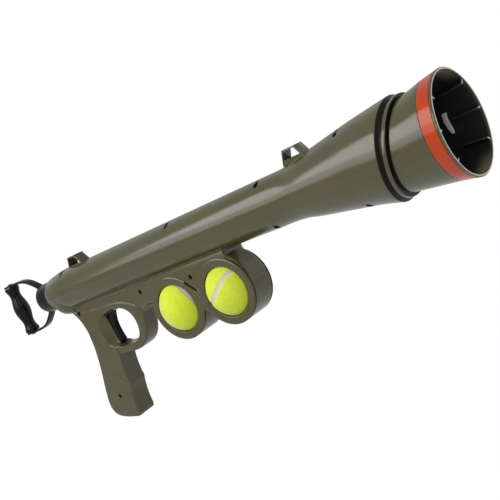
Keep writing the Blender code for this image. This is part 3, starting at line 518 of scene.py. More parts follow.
# %% Outlines of the lower body
WEB_HALF = 0.0118
FRAME_HALF = 0.0130
GRIP_HALF = 0.0148
POD_X = (0.178, 0.2614)
POD_Z, POD_R, POD_HALF = 0.0534, 0.0404, 0.0191
WEB = mm([(-12, 98.5), (-8, 88), (10, 80), (60, 75), (95, 66), (118, 62.5), (128, 66), (150, 70), (178, 62),
          (261.5, 62), (270, 80), (273.5, 93), (273.5, 98.5)])
KEEL = mm([(-22, 104), (-18, 92), (280, 78), (281.6, 101)])
NECK = mm([(261.4, 54), (301.2, 54), (301.8, 60), (300.8, 66.5), (297.5, 74.5), (293.5, 80.8), (289, 86.2),
           (284.8, 90.5), (281.6, 93), (281.6, 98.5), (261.4, 98.5)])
FRAME = mm([(-14, 93), (0, 90.2), (19, 89.3), (40, 88.8), (59, 88.2), (76.5, 86.2), (89.5, 82.8),
            (100, 77.5), (109, 71.5), (113, 64), (110, 57), (106.2, 48), (101.2, 37), (93, 27), (82, 20.5),
            (68, 18), (50, 17.8), (30, 18.5), (14, 24), (0, 50), (-6, 70)])
GRIP = mm([(-22.5, 100), (-22, 96), (-15.2, 86), (-9.8, 75), (-7.1, 63), (-7, 52), (-9.3, 36), (-14, 19),
           (-20, 1.5), (-27, -16), (-33, -33.5), (-35.4, -45), (-34, -54.5), (-29.2, -60.5), (-21.5, -64.5),
           (-8, -67.7), (7, -69.4), (14.5, -69.3), (17.2, -65), (18, -54), (20.2, -42), (23.8, -30),
           (26.8, -23), (26.4, -16.5), (27.6, -5), (29.8, 6), (32.5, 15), (34, 24), (32.5, 36), (32, 50),
           (33.5, 66), (33, 79), (29, 86), (20, 88.8), (0, 90), (-12, 92.8), (-19, 98)])
WAIST = mm([(208, 64), (216, 65.5), (223, 66.8), (231, 67), (231, 40), (219.7, 40.5), (208, 39)])
# Under the dome the shell bulges a little below the tube
BELLY_Z = 0.1150
BELLY = mm([(-44.5, 0), (-43.5, 14.2), (-40, 19.2), (-35, 22.2), (-29, 23.4), (-22, 23.2), (-15, 21.2),
            (-8, 18.5), (0, 16), (4, 0)])
# The saddle between tube and rings is drawn from above: it grows out of the web towards the rings
SADDLE = mm([(100, 11.4), (128, 14.6), (155, 17.2), (178, 17.5), (282.2, 17.5)])
SADDLE_Z = (0.0700, 0.0990)
PANEL_X, PANEL_HALF = (0.158, 0.2825), 0.0178
print("outline points", len(WEB) + len(FRAME) + len(GRIP))

# %% Slabs, discs and the sleeve
parts = [slab("web", WEB, -WEB_HALF, WEB_HALF, 0.0016),
         slab("frame", smooth_line(FRAME, 2), -FRAME_HALF, FRAME_HALF, 0.0034, 4),
         slab("grip", smooth_line(GRIP, 2), -GRIP_HALF, GRIP_HALF, 0.0034, 4),
         slab("keel", KEEL, -0.0090, 0.0090),
         slab("neck", NECK, -0.0150, 0.0150, 0.0010),
         turned("belly", BELLY, 64, (0, 0, BELLY_Z), solid=True),
         slab("waist", WAIST, -POD_HALF, POD_HALF, 0.0010),
         slab("ring_fill", rect(0.190, 0.250, 0.060, 0.0765), -0.0175, 0.0175)]
# The grip is a little thinner at its top, so that it runs into the frame without a step
GRIP_THINNER, THIN_FROM, THIN_OVER = 0.12, 0.050, 0.035
for vert in parts[2].data.vertices:
    vert.co.y *= 1 - GRIP_THINNER * min(1.0, max(0.0, (vert.co.z - THIN_FROM) / THIN_OVER))


def lift(name, outline, z0, z1, edge):
    """Pull an X-Y outline up along Z, and round its edges."""
    ob = trace(name, [(x, y, z0) for x, y in outline])
    edit(ob)
    bpy.ops.mesh.extrude_region_move(TRANSFORM_OT_translate={"value": (0, 0, z1 - z0)})
    leave()
    return bevel(tidy(ob), edge, 2)


CHAMFER_LONG, CHAMFER_WIDE = 0.0007, 0.0014


def ring_disc(x, shrink, edge):
    """A thick disc whose rims have a flat slope, which catches a thin line of light."""
    half, radius = POD_HALF - shrink, POD_R - shrink
    side = [(half - CHAMFER_LONG, radius), (half, radius - CHAMFER_WIDE), (half, 0)]
    line = [(-y, r) for y, r in reversed(side)] + side
    disc = turned("disc", line, 128, (x, 0, POD_Z), (0, 1, 0), solid=True)
    return bevel(disc, edge, 2, 15)


parts.append(lift("saddle", SADDLE + [(x, -y) for x, y in reversed(SADDLE)], *SADDLE_Z, 0.0006))
for x in POD_X:
    parts.append(ring_disc(x, 0.0004, 0.0002))
SLEEVE_UNDER = 0.0004
sleeve_line = [(x, barrel_r(x) - SLEEVE_UNDER) for x in stations(0.0, 0.318, 8)]
sleeve_line = [(-0.030, 0), (-0.030, 0.0240), (-0.018, 0.0256), (-0.006, 0.0267)] + sleeve_line + [(0.318, 0)]
parts.append(turned("sleeve", sleeve_line, 96, solid=True))
print("parts of the lower body", len(parts))

# %% [markdown]
# ## Melting the parts together
# The remesh gives an even skin of about one millimetre. The finger hole and the dish round the
# trigger are cut after the first melt, and a second melt rounds their rims too. The two ball
# rings are then set in once more with crisp edges, because a thin light line runs along their tops.

# %% Melt, cut, melt again
VOXEL, MELT_ROUNDS = 0.00095, 7
FINGER_HOLE = mm([(34.5, 73.5), (46, 75), (55, 76.8), (63, 79.3), (72, 78), (82, 73.5), (88.5, 66),
                  (91.2, 56), (90, 46), (86, 37.5), (79, 31.5), (69, 29), (52, 28.5), (40, 29), (37, 33),
                  (35, 45), (34, 60)])
DISH = mm([(32, 40), (31, 55), (32.5, 67), (36.5, 73), (43, 75.5), (56, 74), (56, 34), (45, 33), (37, 33.5),
           (33.5, 36)])
DISH_FLOOR, DISH_RIM, DISH_GROW = 0.0062, 0.022, (3.2, 1.30)


def melt(ob, rounds):
    """Remesh into one even skin, and smooth that for some rounds."""
    modify(ob, "REMESH", mode="VOXEL", voxel_size=VOXEL)
    return modify(ob, "SMOOTH", factor=0.5, iterations=rounds) if rounds else ob


lower = melt(join(parts, "lower_body"), 0)
cut(lower, slab("finger_hole", smooth_line(FINGER_HOLE, 2), -0.03, 0.03))
for side in (-1, 1):
    dish = slab("dish", smooth_line(DISH, 2), side * DISH_FLOOR, side * DISH_RIM, grow=DISH_GROW)
    cut(lower, dish)
melt(lower, MELT_ROUNDS)
combine(lower, slab("panel", rect(*PANEL_X, *SADDLE_Z), -PANEL_HALF, PANEL_HALF, 0.0003, 2))
SHADOW_Y, SHADOW_DEEP, SHADOW_OUT = (0.0158, 0.0178), 0.0011, 0.002
for x, keep_x in zip(POD_X, (POD_X[1], POD_X[1] + 0.0225)):
    combine(lower, ring_disc(x, 0, 0.00025))
    for side in (-1, 1):
        line = rect(side * SHADOW_Y[0], side * SHADOW_Y[1], POD_R - SHADOW_DEEP, POD_R + SHADOW_OUT)
        groove = turned("groove", line, 128, (x, 0, POD_Z), (0, 1, 0))
        cut(groove, slab("keep", rect(0.10, keep_x, 0.040, 0.12), -0.03, 0.03))
        cut(lower, groove)
SLIT = mm([(206.6, 80), (208, 81.6), (221.4, 66.4), (219, 64.2)])
CREASE = mm([(0.1, 1.6), (0.7, 2.3), (23.7, -18.9), (23.1, -19.6)])
for side in (-1, 1):
    combine(lower, slab("crease", CREASE, side * 0.0120, side * 0.0152, 0.0003, 2))
    cut(lower, slab("slit", SLIT, side * 0.0150, side * 0.0230))
print("lower body", len(lower.data.polygons), "faces")

# %% [markdown]
# ## One shell
# The bore is cut out of the sleeve, inside the tube's wall, so that the union with the spun tube
# keeps only the fillets. Then come the strap loops, the hollows, the ball rooms, the screw posts
# and their wells, and at last the cut into a right and a left half.

# %% Tube and lower body become one
bore_line = [(x, barrel_r(x) - 0.5 * WALL) for x in stations(0.0, 0.330, 8)]
bore_line = [(-0.040, 0), (-0.040, 0.0218), (-0.018, 0.0245), (-0.006, 0.0256)] + bore_line + [(0.330, 0)]
cut(lower, turned("bore", bore_line, 96, solid=True))
shell = combine(barrel, lower)
shell.name = "shell"
print("shell", len(shell.data.polygons), "faces")

# %% Strap loops
LOOP_HALF, LOOP_THICK, LOOP_TALL = 0.0080, 0.0020, 0.0162
REAR_LOOP = ((0.0110, 0.0175, 0.0330, 0.0435), 0.1645)
FRONT_LOOP = ((0.4008, 0.4068, 0.4235, 0.4318), 0.1706)
for feet, crown in (REAR_LOOP, FRONT_LOOP):
    low = crown - LOOP_TALL
    frame_line = [(feet[0], low), (feet[3], low), (feet[2], crown), (feet[1], crown)]
    loop = slab("loop", frame_line, -LOOP_HALF, LOOP_HALF, 0.0005, 2)
    ground = AXIS_Z + barrel_r(feet[3]) + GAP
    slope = LOOP_THICK * 1.3
    gap_line = [(feet[0] + slope + MM, ground), (feet[3] - 2 * slope, ground),
                (feet[2] - slope / 2, crown - LOOP_THICK), (feet[1] + slope / 2, crown - LOOP_THICK)]
    cut(loop, slab("loop_gap", gap_line, -2 * LOOP_HALF, 2 * LOOP_HALF))
    under = [(x, barrel_r(x) - WALL / 2) for x in stations(feet[0] - 0.01, feet[3] + 0.01, 6)]
    under = [(under[0][0], 0)] + under + [(under[-1][0], 0)]
    cut(loop, turned("loop_under", under, 96, solid=True))
    combine(shell, loop)
print("strap loops", 2)

# %% Hollows for the lock, the grip and the balls
GRIP_WALL = 0.0028
GRIP_HOLLOW = mm([(-6.8, 74), (-4.3, 63), (-4.3, 51), (-6.5, 35), (-11.3, 18), (-17.3, 0.5), (-24.3, -17),
                  (-30, -34.5), (-31.8, -45), (-30.3, -52.5), (-26.5, -57.8), (-20, -61.4), (-7, -64.8),
                  (5, -66.4), (10.5, -66), (13, -62), (14.8, -53.5), (17.2, -41.2), (20.8, -28.5),
                  (23.2, -22), (23.2, -16), (24.6, -5), (26.8, 6), (25, 16), (13, 30), (12, 60), (12, 74)])
LOCK_HOLLOW = mm([(-10.5, 96.5), (-10.8, 87), (-6, 74.5), (12, 73.5), (17, 81), (36, 81.5), (72, 82),
                  (88, 80), (96, 76), (101, 76), (101, 96.5)])
TRIGGER_SLOT = mm([(14, 74), (14.5, 31), (40, 30.5), (60, 79), (60, 85), (14, 85)])
SEAR_SLOT = mm([(-6.2, 90.5), (4.5, 90.5), (4.5, 104.5), (-6.2, 104.5)])
LOCK_HALF, SLOT_HALF, SEAR_SLOT_HALF = 0.0088, 0.0052, 0.0034
for name, outline, half in (("grip_hollow", GRIP_HOLLOW, GRIP_HALF - GRIP_WALL),
                            ("lock_hollow", LOCK_HOLLOW, LOCK_HALF),
                            ("trigger_slot", TRIGGER_SLOT, SLOT_HALF),
                            ("sear_slot", SEAR_SLOT, SEAR_SLOT_HALF)):
    cut(shell, slab(name, outline, -half, half))
MOUTH_R, ROOM_R, LIP = 0.0303, 0.0345, 0.0030
for x in POD_X:
    lip = POD_HALF - LIP
    half_line = [(0.030, MOUTH_R + 0.0072), (POD_HALF + 0.0002, MOUTH_R + 0.0017),
                 (POD_HALF - 0.0003, MOUTH_R + 0.0008), (POD_HALF - 0.0009, MOUTH_R + 0.0002),
                 (POD_HALF - 0.0016, MOUTH_R), (lip + 0.0004, MOUTH_R), (lip, MOUTH_R + 0.0004),
                 (lip, ROOM_R)]
    half_line.insert(0, (half_line[0][0], 0))
    line = [(-y, r) for y, r in half_line] + half_line[::-1]
    cut(shell, turned("ball_room", line, 96, (x, 0, POD_Z), (0, 1, 0), solid=True))
print("hollows cut,", len(shell.data.polygons), "faces")

# %% [markdown]
# ## Two halves with screw posts
# The screws go in from the right through deep wells and bite into posts on the left half. The
# posts and wells belong to one side each, so the shell is split first.

# %% Split, posts and wells
SEAM = GAP / 5
SCREW_R, HEAD_R, HEAD_TALL, WELL_R = 0.0013, 0.0024, 0.0017, 0.0031
SCREWS = []
for n in range(1, 11):
    low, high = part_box("shell_screw_%d" % n)
    SCREWS.append(((low.x + high.x) / 2, (low.z + high.z) / 2, -(low.y + HEAD_TALL)))
TRIGGER_PIN, SEAR_PIN = (0.0470, 0.0885), (0.0160, 0.0905)


def rod(name, x, z, y0, y1, radius, steps=24):
    """A peg along Y."""
    return peg(name, y0, y1, radius, steps, (x, 0, z), (0, 1, 0))


def half_shell(name, side):
    ob = copy_of(shell, name)
    low, high = sorted((side * SEAM, side * 0.2))
    block = slab("block", rect(-0.2, 0.8, -0.2, 0.4), low, high)
    combine(ob, block, "INTERSECT")
    for x, z, seat in SCREWS:
        in_tube = z > AXIS_Z - TUBE_R
        radius = 0.0029 if in_tube or x > POD_X[1] else 0.0036
        depth = seat + (GAP if in_tube else WALL / 2)
        combine(ob, rod("post", x, z, side * SEAM, side * depth, radius))
        if side < 0:
            hole = rod("well", x, z, -seat, -0.06, WELL_R)
            cut(ob, hole)
            cut(ob, rod("bore", x, z, 0.004, -seat - 0.001, SCREW_R + GAP, 16))
        else:
            cut(ob, rod("bore", x, z, -0.004, seat - WALL / 4, SCREW_R + GAP, 16))
    for x, z in (TRIGGER_PIN, SEAR_PIN):
        combine(ob, rod("boss", x, z, side * 0.0062, side * 0.0098, 0.0034))
        cut(ob, rod("pin_hole", x, z, side * 0.004, side * 0.0085, 0.0018, 16))
    print(name, len(ob.data.polygons), "faces")
    return ob


shell_right = half_shell("shell_right", -1)
shell_left = half_shell("shell_left", 1)
bpy.data.objects.remove(shell, do_unlink=True)
for ob in (shell_right, shell_left):
    soften(ob, 38)
    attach(ob, "launcher_body")
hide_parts("right_shell", "right_horn")
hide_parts("left_shell", "left_horn")

# %% [markdown]
# ## Mouth cup
# The cup is a separate ring that plugs into the horn: a spigot, a narrow collar ring, a step, and
# a cone whose front edge is chamfered outwards. It is again one spun profile. Three thin ribs on
# each side stiffen it inside. One rib is pushed out of a traced outline, then copied and turned.

# %% Spin the cup
def cup_r(x):
    return THROAT_R + (CUP_R - THROAT_R) * (x - CONE_X) / (CUP_X - CONE_X)


CONE_X = COLLAR_X + COLLAR_BAND + COLLAR_STEP
RING_X = (COLLAR_X + GAP, COLLAR_X + COLLAR_BAND)
RING_R2 = COLLAR_R - 0.0030
BAND_X = (0.5772, 0.5910)
BAND_DEEP = 0.0010
RIM_LONG, RIM_WIDE = 0.0013, 0.0017
cup_line = [(COLLAR_X - SPIGOT, THROAT_R - 0.0004), (COLLAR_X - SPIGOT + 0.0006, THROAT_R),
            (RING_X[0], THROAT_R), (RING_X[0], RING_R2 - 0.0010), (RING_X[0] + 0.0003, RING_R2 - 0.0003),
            (RING_X[0] + 0.0010, RING_R2), (RING_X[1] - 0.0008, RING_R2),
            (RING_X[1] - 0.0001, RING_R2 - 0.0004), (RING_X[1] + 0.0002, RING_R2 - 0.0012),
            (RING_X[1] + 0.0006, THROAT_R - 0.0006), (CONE_X - 0.0006, THROAT_R - 0.0006),
            (CONE_X, THROAT_R + 0.0001), (CONE_X + 0.0008, cup_r(CONE_X + 0.0008))]
cup_line += [(x, cup_r(x)) for x in stations(CONE_X + 0.004, BAND_X[0] - GAP, 10)]
cup_line += [(BAND_X[0] - GAP, cup_r(BAND_X[0]) - BAND_DEEP), (BAND_X[1] + GAP, cup_r(BAND_X[1]) - BAND_DEEP),
             (BAND_X[1] + GAP, cup_r(BAND_X[1]))]
cup_line += [(CUP_X - RIM_LONG, CUP_R), (CUP_X - 0.45 * RIM_LONG, CUP_R - 0.55 * RIM_WIDE),
             (CUP_X, CUP_R - RIM_WIDE), (CUP_X - 0.0004, CUP_R - CUP_WALL)]
cup_line += [(x, cup_r(x) - CUP_WALL) for x in reversed(stations(CONE_X, CUP_X - 0.003, 12))]
cup_line += [(COLLAR_X - SPIGOT, THROAT_R - CUP_WALL)]
mouth_cup = lean(turned("mouth_cup", cup_line, 128))
print("cup", len(cup_line), "stations")

# %% Ribs
RIB_SPREAD_DEG = (48, 86, 124, -48, -86, -124)
RIB_DEEP, RIB_THICK = 0.0050, 0.0017
RIB_X = (0.5655, 0.5926)
rib_line = [(x, AXIS_Z + cup_r(x) - 0.6 * CUP_WALL) for x in stations(RIB_X[0], RIB_X[1], 5)]
rib_line += [(RIB_X[1], AXIS_Z + cup_r(RIB_X[1]) - CUP_WALL - RIB_DEEP),
             (RIB_X[0] + 0.006, AXIS_Z + cup_r(RIB_X[0] + 0.006) - CUP_WALL - RIB_DEEP),
             (RIB_X[0], AXIS_Z + cup_r(RIB_X[0]) - CUP_WALL - 0.4 * RIB_DEEP)]
rib = slab("rib", rib_line, -RIB_THICK / 2, RIB_THICK / 2, 0.0003, 2)
for spread in RIB_SPREAD_DEG:
    spoke = copy_of(rib, "spoke")
    edit(spoke)
    bpy.ops.transform.rotate(value=math.radians(spread), orient_axis="X", center_override=(0, 0, AXIS_Z))
    leave()
    combine(mouth_cup, spoke)
bpy.data.objects.remove(rib, do_unlink=True)
soften(mouth_cup, 32)
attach(mouth_cup, "launcher_body")
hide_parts("muzzle_cup")
print("cup with ribs", len(mouth_cup.data.polygons), "faces")

# %% [markdown]
# ## Orange band
# The band is a separate ring in a shallow groove behind the rim. Its edges are rounded, and it
# stands a hair above the cup, so that light catches its edge.

# %% Band
PROUD = 0.00012
band_line = [(x, cup_r(x) + PROUD) for x in (BAND_X[1] - 0.0008, BAND_X[0] + 0.0008)]
band_line += [(BAND_X[0] + 0.0003, cup_r(BAND_X[0]) + PROUD), (BAND_X[0], cup_r(BAND_X[0]) - 0.0002),
             (BAND_X[0], cup_r(BAND_X[0]) - BAND_DEEP + GAP), (BAND_X[1], cup_r(BAND_X[1]) - BAND_DEEP + GAP),
             (BAND_X[1], cup_r(BAND_X[1]) - 0.0002), (BAND_X[1] - 0.0003, cup_r(BAND_X[1]) + PROUD)]
mouth_band = soften(turned("mouth_band", band_line, 128), 50)
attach(mouth_band, "launcher_body")
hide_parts("muzzle_band")
print("band", len(mouth_band.data.polygons), "faces")

# %% [markdown]
# ## Pale piece in the mouth
# On the far inner wall a small pale crescent shows. It is a curved tongue that follows the
# wall; here its outline is only pushed out, flat, through the depth of its place, and its edges rounded.

# %% Crescent
tab_low, tab_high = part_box("retainer_tab")
tab_mid = (tab_low + tab_high) / 2
tab_half = (tab_high - tab_low) / 2
CRESCENT_SHARES = [(0.02, 1.0), (-0.95, 1.0), (-0.80, 0.60), (-0.84, 0.05), (-1.0, -0.86), (-0.45, -1.0),
                   (0.08, -0.53), (0.30, 0.30), (0.26, 0.85)]
tab_line = [(tab_mid.x - s * tab_half.x, tab_mid.z + t * tab_half.z) for s, t in CRESCENT_SHARES]
mouth_tab = slab("mouth_tab", smooth_line(tab_line, 3), tab_low.y, tab_high.y, 0.0004, 3)
soften(mouth_tab, 50)
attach(mouth_tab, "launcher_body")
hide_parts("retainer_tab")
print("crescent", [round(v / MM, 1) for v in tab_half * 2])

# %% [markdown]
# ## Plunger tube
# The black tube that slides out of the dome has a closed, rounded end. It is a closed profile
# spun round the axis, with two bores for the screws of the pull strap.

# %% Black tube
TUBE_WALL = 0.0024
TUBE_X = (-0.071, 0.076)
inner = TUBE_R - TUBE_WALL
tube_line = [(TUBE_X[0], 0), (TUBE_X[0], TUBE_R - 0.0022), (TUBE_X[0] + 0.0004, TUBE_R - 0.0010),
             (TUBE_X[0] + 0.0011, TUBE_R - 0.0003), (TUBE_X[0] + 0.0022, TUBE_R)]
tube_line += [(x, TUBE_R) for x in stations(-0.060, 0.0752, 12)]
tube_line += [(TUBE_X[1], TUBE_R - 0.0006), (TUBE_X[1], inner), (TUBE_X[0] + 1.5 * TUBE_WALL, inner),
              (TUBE_X[0] + 1.5 * TUBE_WALL, 0)]
drive_tube = turned("drive_tube", tube_line, 96, solid=True)
BOLT_Z, BOLT_R = 0.0095, 0.0020


def cut_bolt_holes(ob):
    """Two holes through the tube's closed end and the strap."""
    for z in (-BOLT_Z, BOLT_Z):
        cut(ob, peg("hole", -0.08, -0.06, BOLT_R + GAP, centre=(0, 0, AXIS_Z + z)))


cut_bolt_holes(drive_tube)
soften(drive_tube, 32)
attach(drive_tube, "plunger")
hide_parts("plunger_tube")
print("tube", len(drive_tube.data.polygons), "faces")

# %% [markdown]
# ## Pull strap and handle
# A bent flat strap is screwed to the tube's end and carries a turned handle on a pin. The strap's
# line is thickened into an outline and pushed out to its width, with rounded edges. The handle
# is a spool shape with a bead at each end, spun round the pin.

# %% Strap
BOW = mm([(-72.8, 0), (-72.8, 12), (-74, 16.8), (-78, 21), (-87, 27.5), (-97, 33.2), (-111, 36.6),
          (-130, 37.4), (-149, 37.4)])
BOW_THICK, BOW_HALF = 0.0030, 0.0055
half_line = smooth_line(BOW, 4, closed=False)
bow_line = [(x, -z) for x, z in reversed(half_line[1:])] + half_line
outer_side, inner_side = [], []
for k, point in enumerate(bow_line):
    before, after = Vector(bow_line[max(k - 1, 0)]), Vector(bow_line[min(k + 1, len(bow_line) - 1)])
    way = (after - before).normalized()
    shift = Vector((-way.y, way.x)) * BOW_THICK / 2
    outer_side.append(tuple(Vector(point) + shift))
    inner_side.append(tuple(Vector(point) - shift))
ribbon = [(x, z + AXIS_Z) for x, z in outer_side + inner_side[::-1]]
pull_strap = slab("pull_strap", ribbon, -BOW_HALF, BOW_HALF, 0.0007, 3)
GRIP_X = -0.139
PIN_R = 0.0025
cut_bolt_holes(pull_strap)
for z in (-BOW[-1][1], BOW[-1][1]):
    hole = peg("hole", -0.004, 0.004, PIN_R + GAP, centre=(GRIP_X, 0, AXIS_Z + z), axis=(0, 0, 1))
    cut(pull_strap, hole)
soften(pull_strap, 38)
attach(pull_strap, "plunger")
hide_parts("pull_bow")
print("strap", len(bow_line), "points along it")

# %% Handle
SPOOL_SHARES = [(-1.0, 0.84), (-0.985, 0.885), (-0.955, 0.915), (-0.90, 0.915), (-0.86, 0.88),
                (-0.80, 0.80), (-0.70, 0.72), (-0.58, 0.695), (-0.45, 0.76), (-0.30, 0.88), (-0.15, 0.97)]
GRIP_R, GRIP_LONG = 0.0116, 0.0712
spool = SPOOL_SHARES + [(0.0, 1.0)] + [(-z, r) for z, r in reversed(SPOOL_SHARES)]
spool = [(z * GRIP_LONG / 2, r * GRIP_R) for z, r in smooth_line(spool, 3, closed=False)]
spool = [(-GRIP_LONG / 2, PIN_R + GAP)] + spool + [(GRIP_LONG / 2, PIN_R + GAP)]
pull_handle = soften(turned("pull_handle", spool, 64, (GRIP_X, 0, AXIS_Z), (0, 0, 1)), 40)
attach(pull_handle, "handle_grip")
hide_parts("pull_grip")
low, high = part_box("grip_pin")
far = high.z - AXIS_Z
PIN_HEAD_R, PIN_HEAD_TALL = 0.0042, 0.0012
head = [(far, 0), (far, 0.0022), (far - 0.0002, 0.0031), (far - 0.0006, 0.0038),
        (far - PIN_HEAD_TALL, PIN_HEAD_R), (far - PIN_HEAD_TALL, PIN_R)]
pin_line = [(-z, r) for z, r in head] + list(reversed(head))
handle_pin = soften(turned("handle_pin", pin_line, 32, (GRIP_X, 0, AXIS_Z), (0, 0, 1), solid=True), 40)
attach(handle_pin, "plunger")
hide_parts("grip_pin")
print("handle", len(spool), "stations")

# %% [markdown]
# ## Trigger
# The trigger is a flat lever with a hollow front. Lengthwise grooves on its front face give grip
# to the finger: they are cut by thin slabs whose outline follows the front.

# %% Lever with grooves
TRIGGER_HALF = 0.0045
FRONT_EDGE = mm([(44, 70), (40.6, 61), (39.5, 52), (40, 43), (41.4, 34.5)])
REST_EDGE = mm([(39.2, 33.4), (36.6, 33), (35.2, 33.8), (33.8, 38.5), (32, 45), (30.6, 53), (30.2, 60),
                (30.4, 70), (33, 74.8), (37, 78.2), (39.8, 82.5), (39.5, 84), (34.5, 84.8), (34, 87.2),
                (42, 90.5), (46.2, 93), (50, 91.8), (52, 87), (50, 81)])
front = smooth_line(FRONT_EDGE, 4, closed=False)
trigger_lever = slab("trigger_lever", front + REST_EDGE, -TRIGGER_HALF, TRIGGER_HALF, 0.0008, 4)
GROOVE_DEEP, GROOVE_HALF = 0.0007, 0.00042
cutter_line = [(x - GROOVE_DEEP, z) for x, z in front] + [(x + 0.004, z) for x, z in reversed(front)]
for y in (-0.0024, -0.0008, 0.0008, 0.0024):
    groove = slab("groove", cutter_line, y - GROOVE_HALF, y + GROOVE_HALF)
    cut(trigger_lever, groove)
cut(trigger_lever, rod("hole", *TRIGGER_PIN, -0.02, 0.02, 0.0018))
soften(trigger_lever, 32)
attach(trigger_lever, "trigger_body")
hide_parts("trigger")
print("trigger", len(trigger_lever.data.polygons), "faces")

# %% [markdown]
# ## Screws
# Each well holds a small pan-head screw with a cross recess. One screw is spun and cut, then copied
# with its own mesh to each place that the CAD gives.

# %% One screw, ten places
head_line = [(0, 0), (0, 0.0009), (0.0002, 0.0016), (0.0006, 0.0021), (0.0011, HEAD_R), (HEAD_TALL, HEAD_R),
             (HEAD_TALL, SCREW_R)]
low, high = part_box("shell_screw_1")
SHANK_END = high.y - low.y
screw_line = head_line + [(SHANK_END - 0.0015, SCREW_R), (SHANK_END, 0)]
screw = turned("screw", screw_line, 32, (0, 0, 0), (0, 1, 0), solid=True)
for long, thin in ((0.0016, 0.0003), (0.0003, 0.0016)):
    cross = slab("cross", rect(-long, long, -thin, thin), -0.001, 0.0009)
    cut(screw, cross)
soften(screw, 35)
for n in range(1, 11):
    low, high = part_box("shell_screw_%d" % n)
    one = copy_of(screw, "screw_%02d" % n)
    edit(one)
    bpy.ops.transform.translate(value=((low.x + high.x) / 2, low.y, (low.z + high.z) / 2))
    leave()
    for vert in one.data.vertices:
        if vert.co.y > low.y + HEAD_TALL + MM:
            vert.co.y += high.y - low.y - SHANK_END
    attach(one, "launcher_body")
    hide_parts("shell_screw_%d" % n)
bpy.data.objects.remove(screw, do_unlink=True)
print("screw", round(SHANK_END / MM, 1), "mm long")

# %% [markdown]
# ## Springs
# The drive spring and the trigger spring are wound again as round wires: a traced wire section is
# wound round an X line by a screw modifier.

# %% Two coils
WIRE_SIDES, STEPS_PER_TURN = 8, 20


def coil(name, node, turns, wire, line_z):
    low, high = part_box(node)
    radius = (high.y - low.y) / 2 - wire
    corners = [2 * math.pi * k / WIRE_SIDES for k in range(WIRE_SIDES)]
    ring = [(low.x + wire * (1 + math.sin(a)), 0, radius + wire * math.cos(a)) for a in corners]
    ob = trace(name, ring)
    edit(ob)
    bpy.ops.mesh.delete(type="ONLY_FACE")
    leave()
    modify(ob, "SCREW", axis="X", angle=2 * math.pi * turns, screw_offset=high.x - low.x - 2 * wire,
           steps=STEPS_PER_TURN * turns, render_steps=STEPS_PER_TURN * turns)
    edit(ob)
    bpy.ops.mesh.fill_holes(sides=0)
    bpy.ops.mesh.normals_make_consistent(inside=False)
    bpy.ops.transform.translate(value=(0, 0, line_z))
    leave()
    soften(ob, 50)
    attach(ob, "launcher_body")
    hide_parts(node)
    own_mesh(ob)
    return ob


coils = [coil("drive_coil", "drive_spring", 18, 0.0011, AXIS_Z),
         coil("trigger_coil", "trigger_spring", 5, 0.0004, 0.0600)]

# %% [markdown]
# ## Tennis balls
# A tennis ball is felt with one closed seam that runs twice round it. The seam follows a known
# curve, so each point of a fine sphere knows its distance to it: there the surface sinks a
# little, and the value is kept as an attribute for the material. The felt is roughened with noise.

# %% Felt ball with a seam
SEAM_A, SEAM_B = 0.75, 0.25
SEAM_C = 2 * math.sqrt(SEAM_A * SEAM_B)
SEAM_HALF = 0.0026
SEAM_STEPS = 360
seam_points = []
for k in range(SEAM_STEPS):
    t = 2 * math.pi * k / SEAM_STEPS
    seam_points.append(Vector((SEAM_A * math.cos(t) + SEAM_B * math.cos(3 * t),
                               SEAM_A * math.sin(t) - SEAM_B * math.sin(3 * t),
                               SEAM_C * math.sin(2 * t))).normalized())


def felt_ball(name, node, turns):
    low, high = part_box(node)
    centre = (low + high) / 2
    radius = (high.y - low.y) / 2 + 0.0003
    bpy.ops.object.select_all(action="DESELECT")
    bpy.ops.mesh.primitive_ico_sphere_add(subdivisions=6, radius=1)
    ball = settle(bpy.context.object, name)
    tree = kdtree.KDTree(SEAM_STEPS)
    for k, point in enumerate(seam_points):
        tree.insert(point, k)
    tree.balance()
    turn = Euler([math.radians(v) for v in turns]).to_matrix()
    seam = ball.data.attributes.new("seam", "FLOAT", "POINT")
    for vert in ball.data.vertices:
        way = vert.co.normalized()
        off = tree.find(way)[2] * radius
        inside = min(1.0, max(0.0, (SEAM_HALF + 0.0004 - off) / 0.0008))
        nap = noise.noise(way * 34) * 0.00012 + noise.noise(way * 90) * 0.00009
        seam.data[vert.index].value = inside
        vert.co = centre + turn @ (way * (radius - 0.0001 - 0.0005 * inside + nap * (1 - inside)))
    return soften(ball, 80)


for name, node, body, turns in (("ball_front", "front_ball", "front_ball_body", (49.8, 20.6, 103.3)),
                                ("ball_rear", "rear_ball", "rear_ball_body", (159.8, 6.9, 149.9))):
    ball = felt_ball(name, node, turns)
    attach(ball, body)
    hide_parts(node)
    print(name, len(ball.data.polygons), "faces")

# %% [markdown]
# ## Finishes
# Moulded plastic is never one flat tone: the colour drifts a little, the gloss changes in flow
# marks, and the skin has a very fine grain. These effects serve the olive, the black and the
# orange alike, so they are one shader node group with named inputs, used with other values each
# time. The Principled shader stays in each material.

# %% Moulded skin as a node group
FINE_SHARE, TONE_MIDDLE = 0.35, 0.675
FLOW_STRETCH = (14, 130, 130)
GRAIN_SHARE, WAVE_SHARE = 0.12, 0.5


def new_group(name, inputs, outputs):
    group = bpy.data.node_groups.new(name, "ShaderNodeTree")
    for labels, way in ((inputs, "INPUT"), (outputs, "OUTPUT")):
        for label, kind in labels:
            group.interface.new_socket(label, in_out=way, socket_type="NodeSocket" + kind)
    graph = Graph(group)
    return group, graph, graph.nodes.new("NodeGroupInput").outputs, graph.nodes.new("NodeGroupOutput")


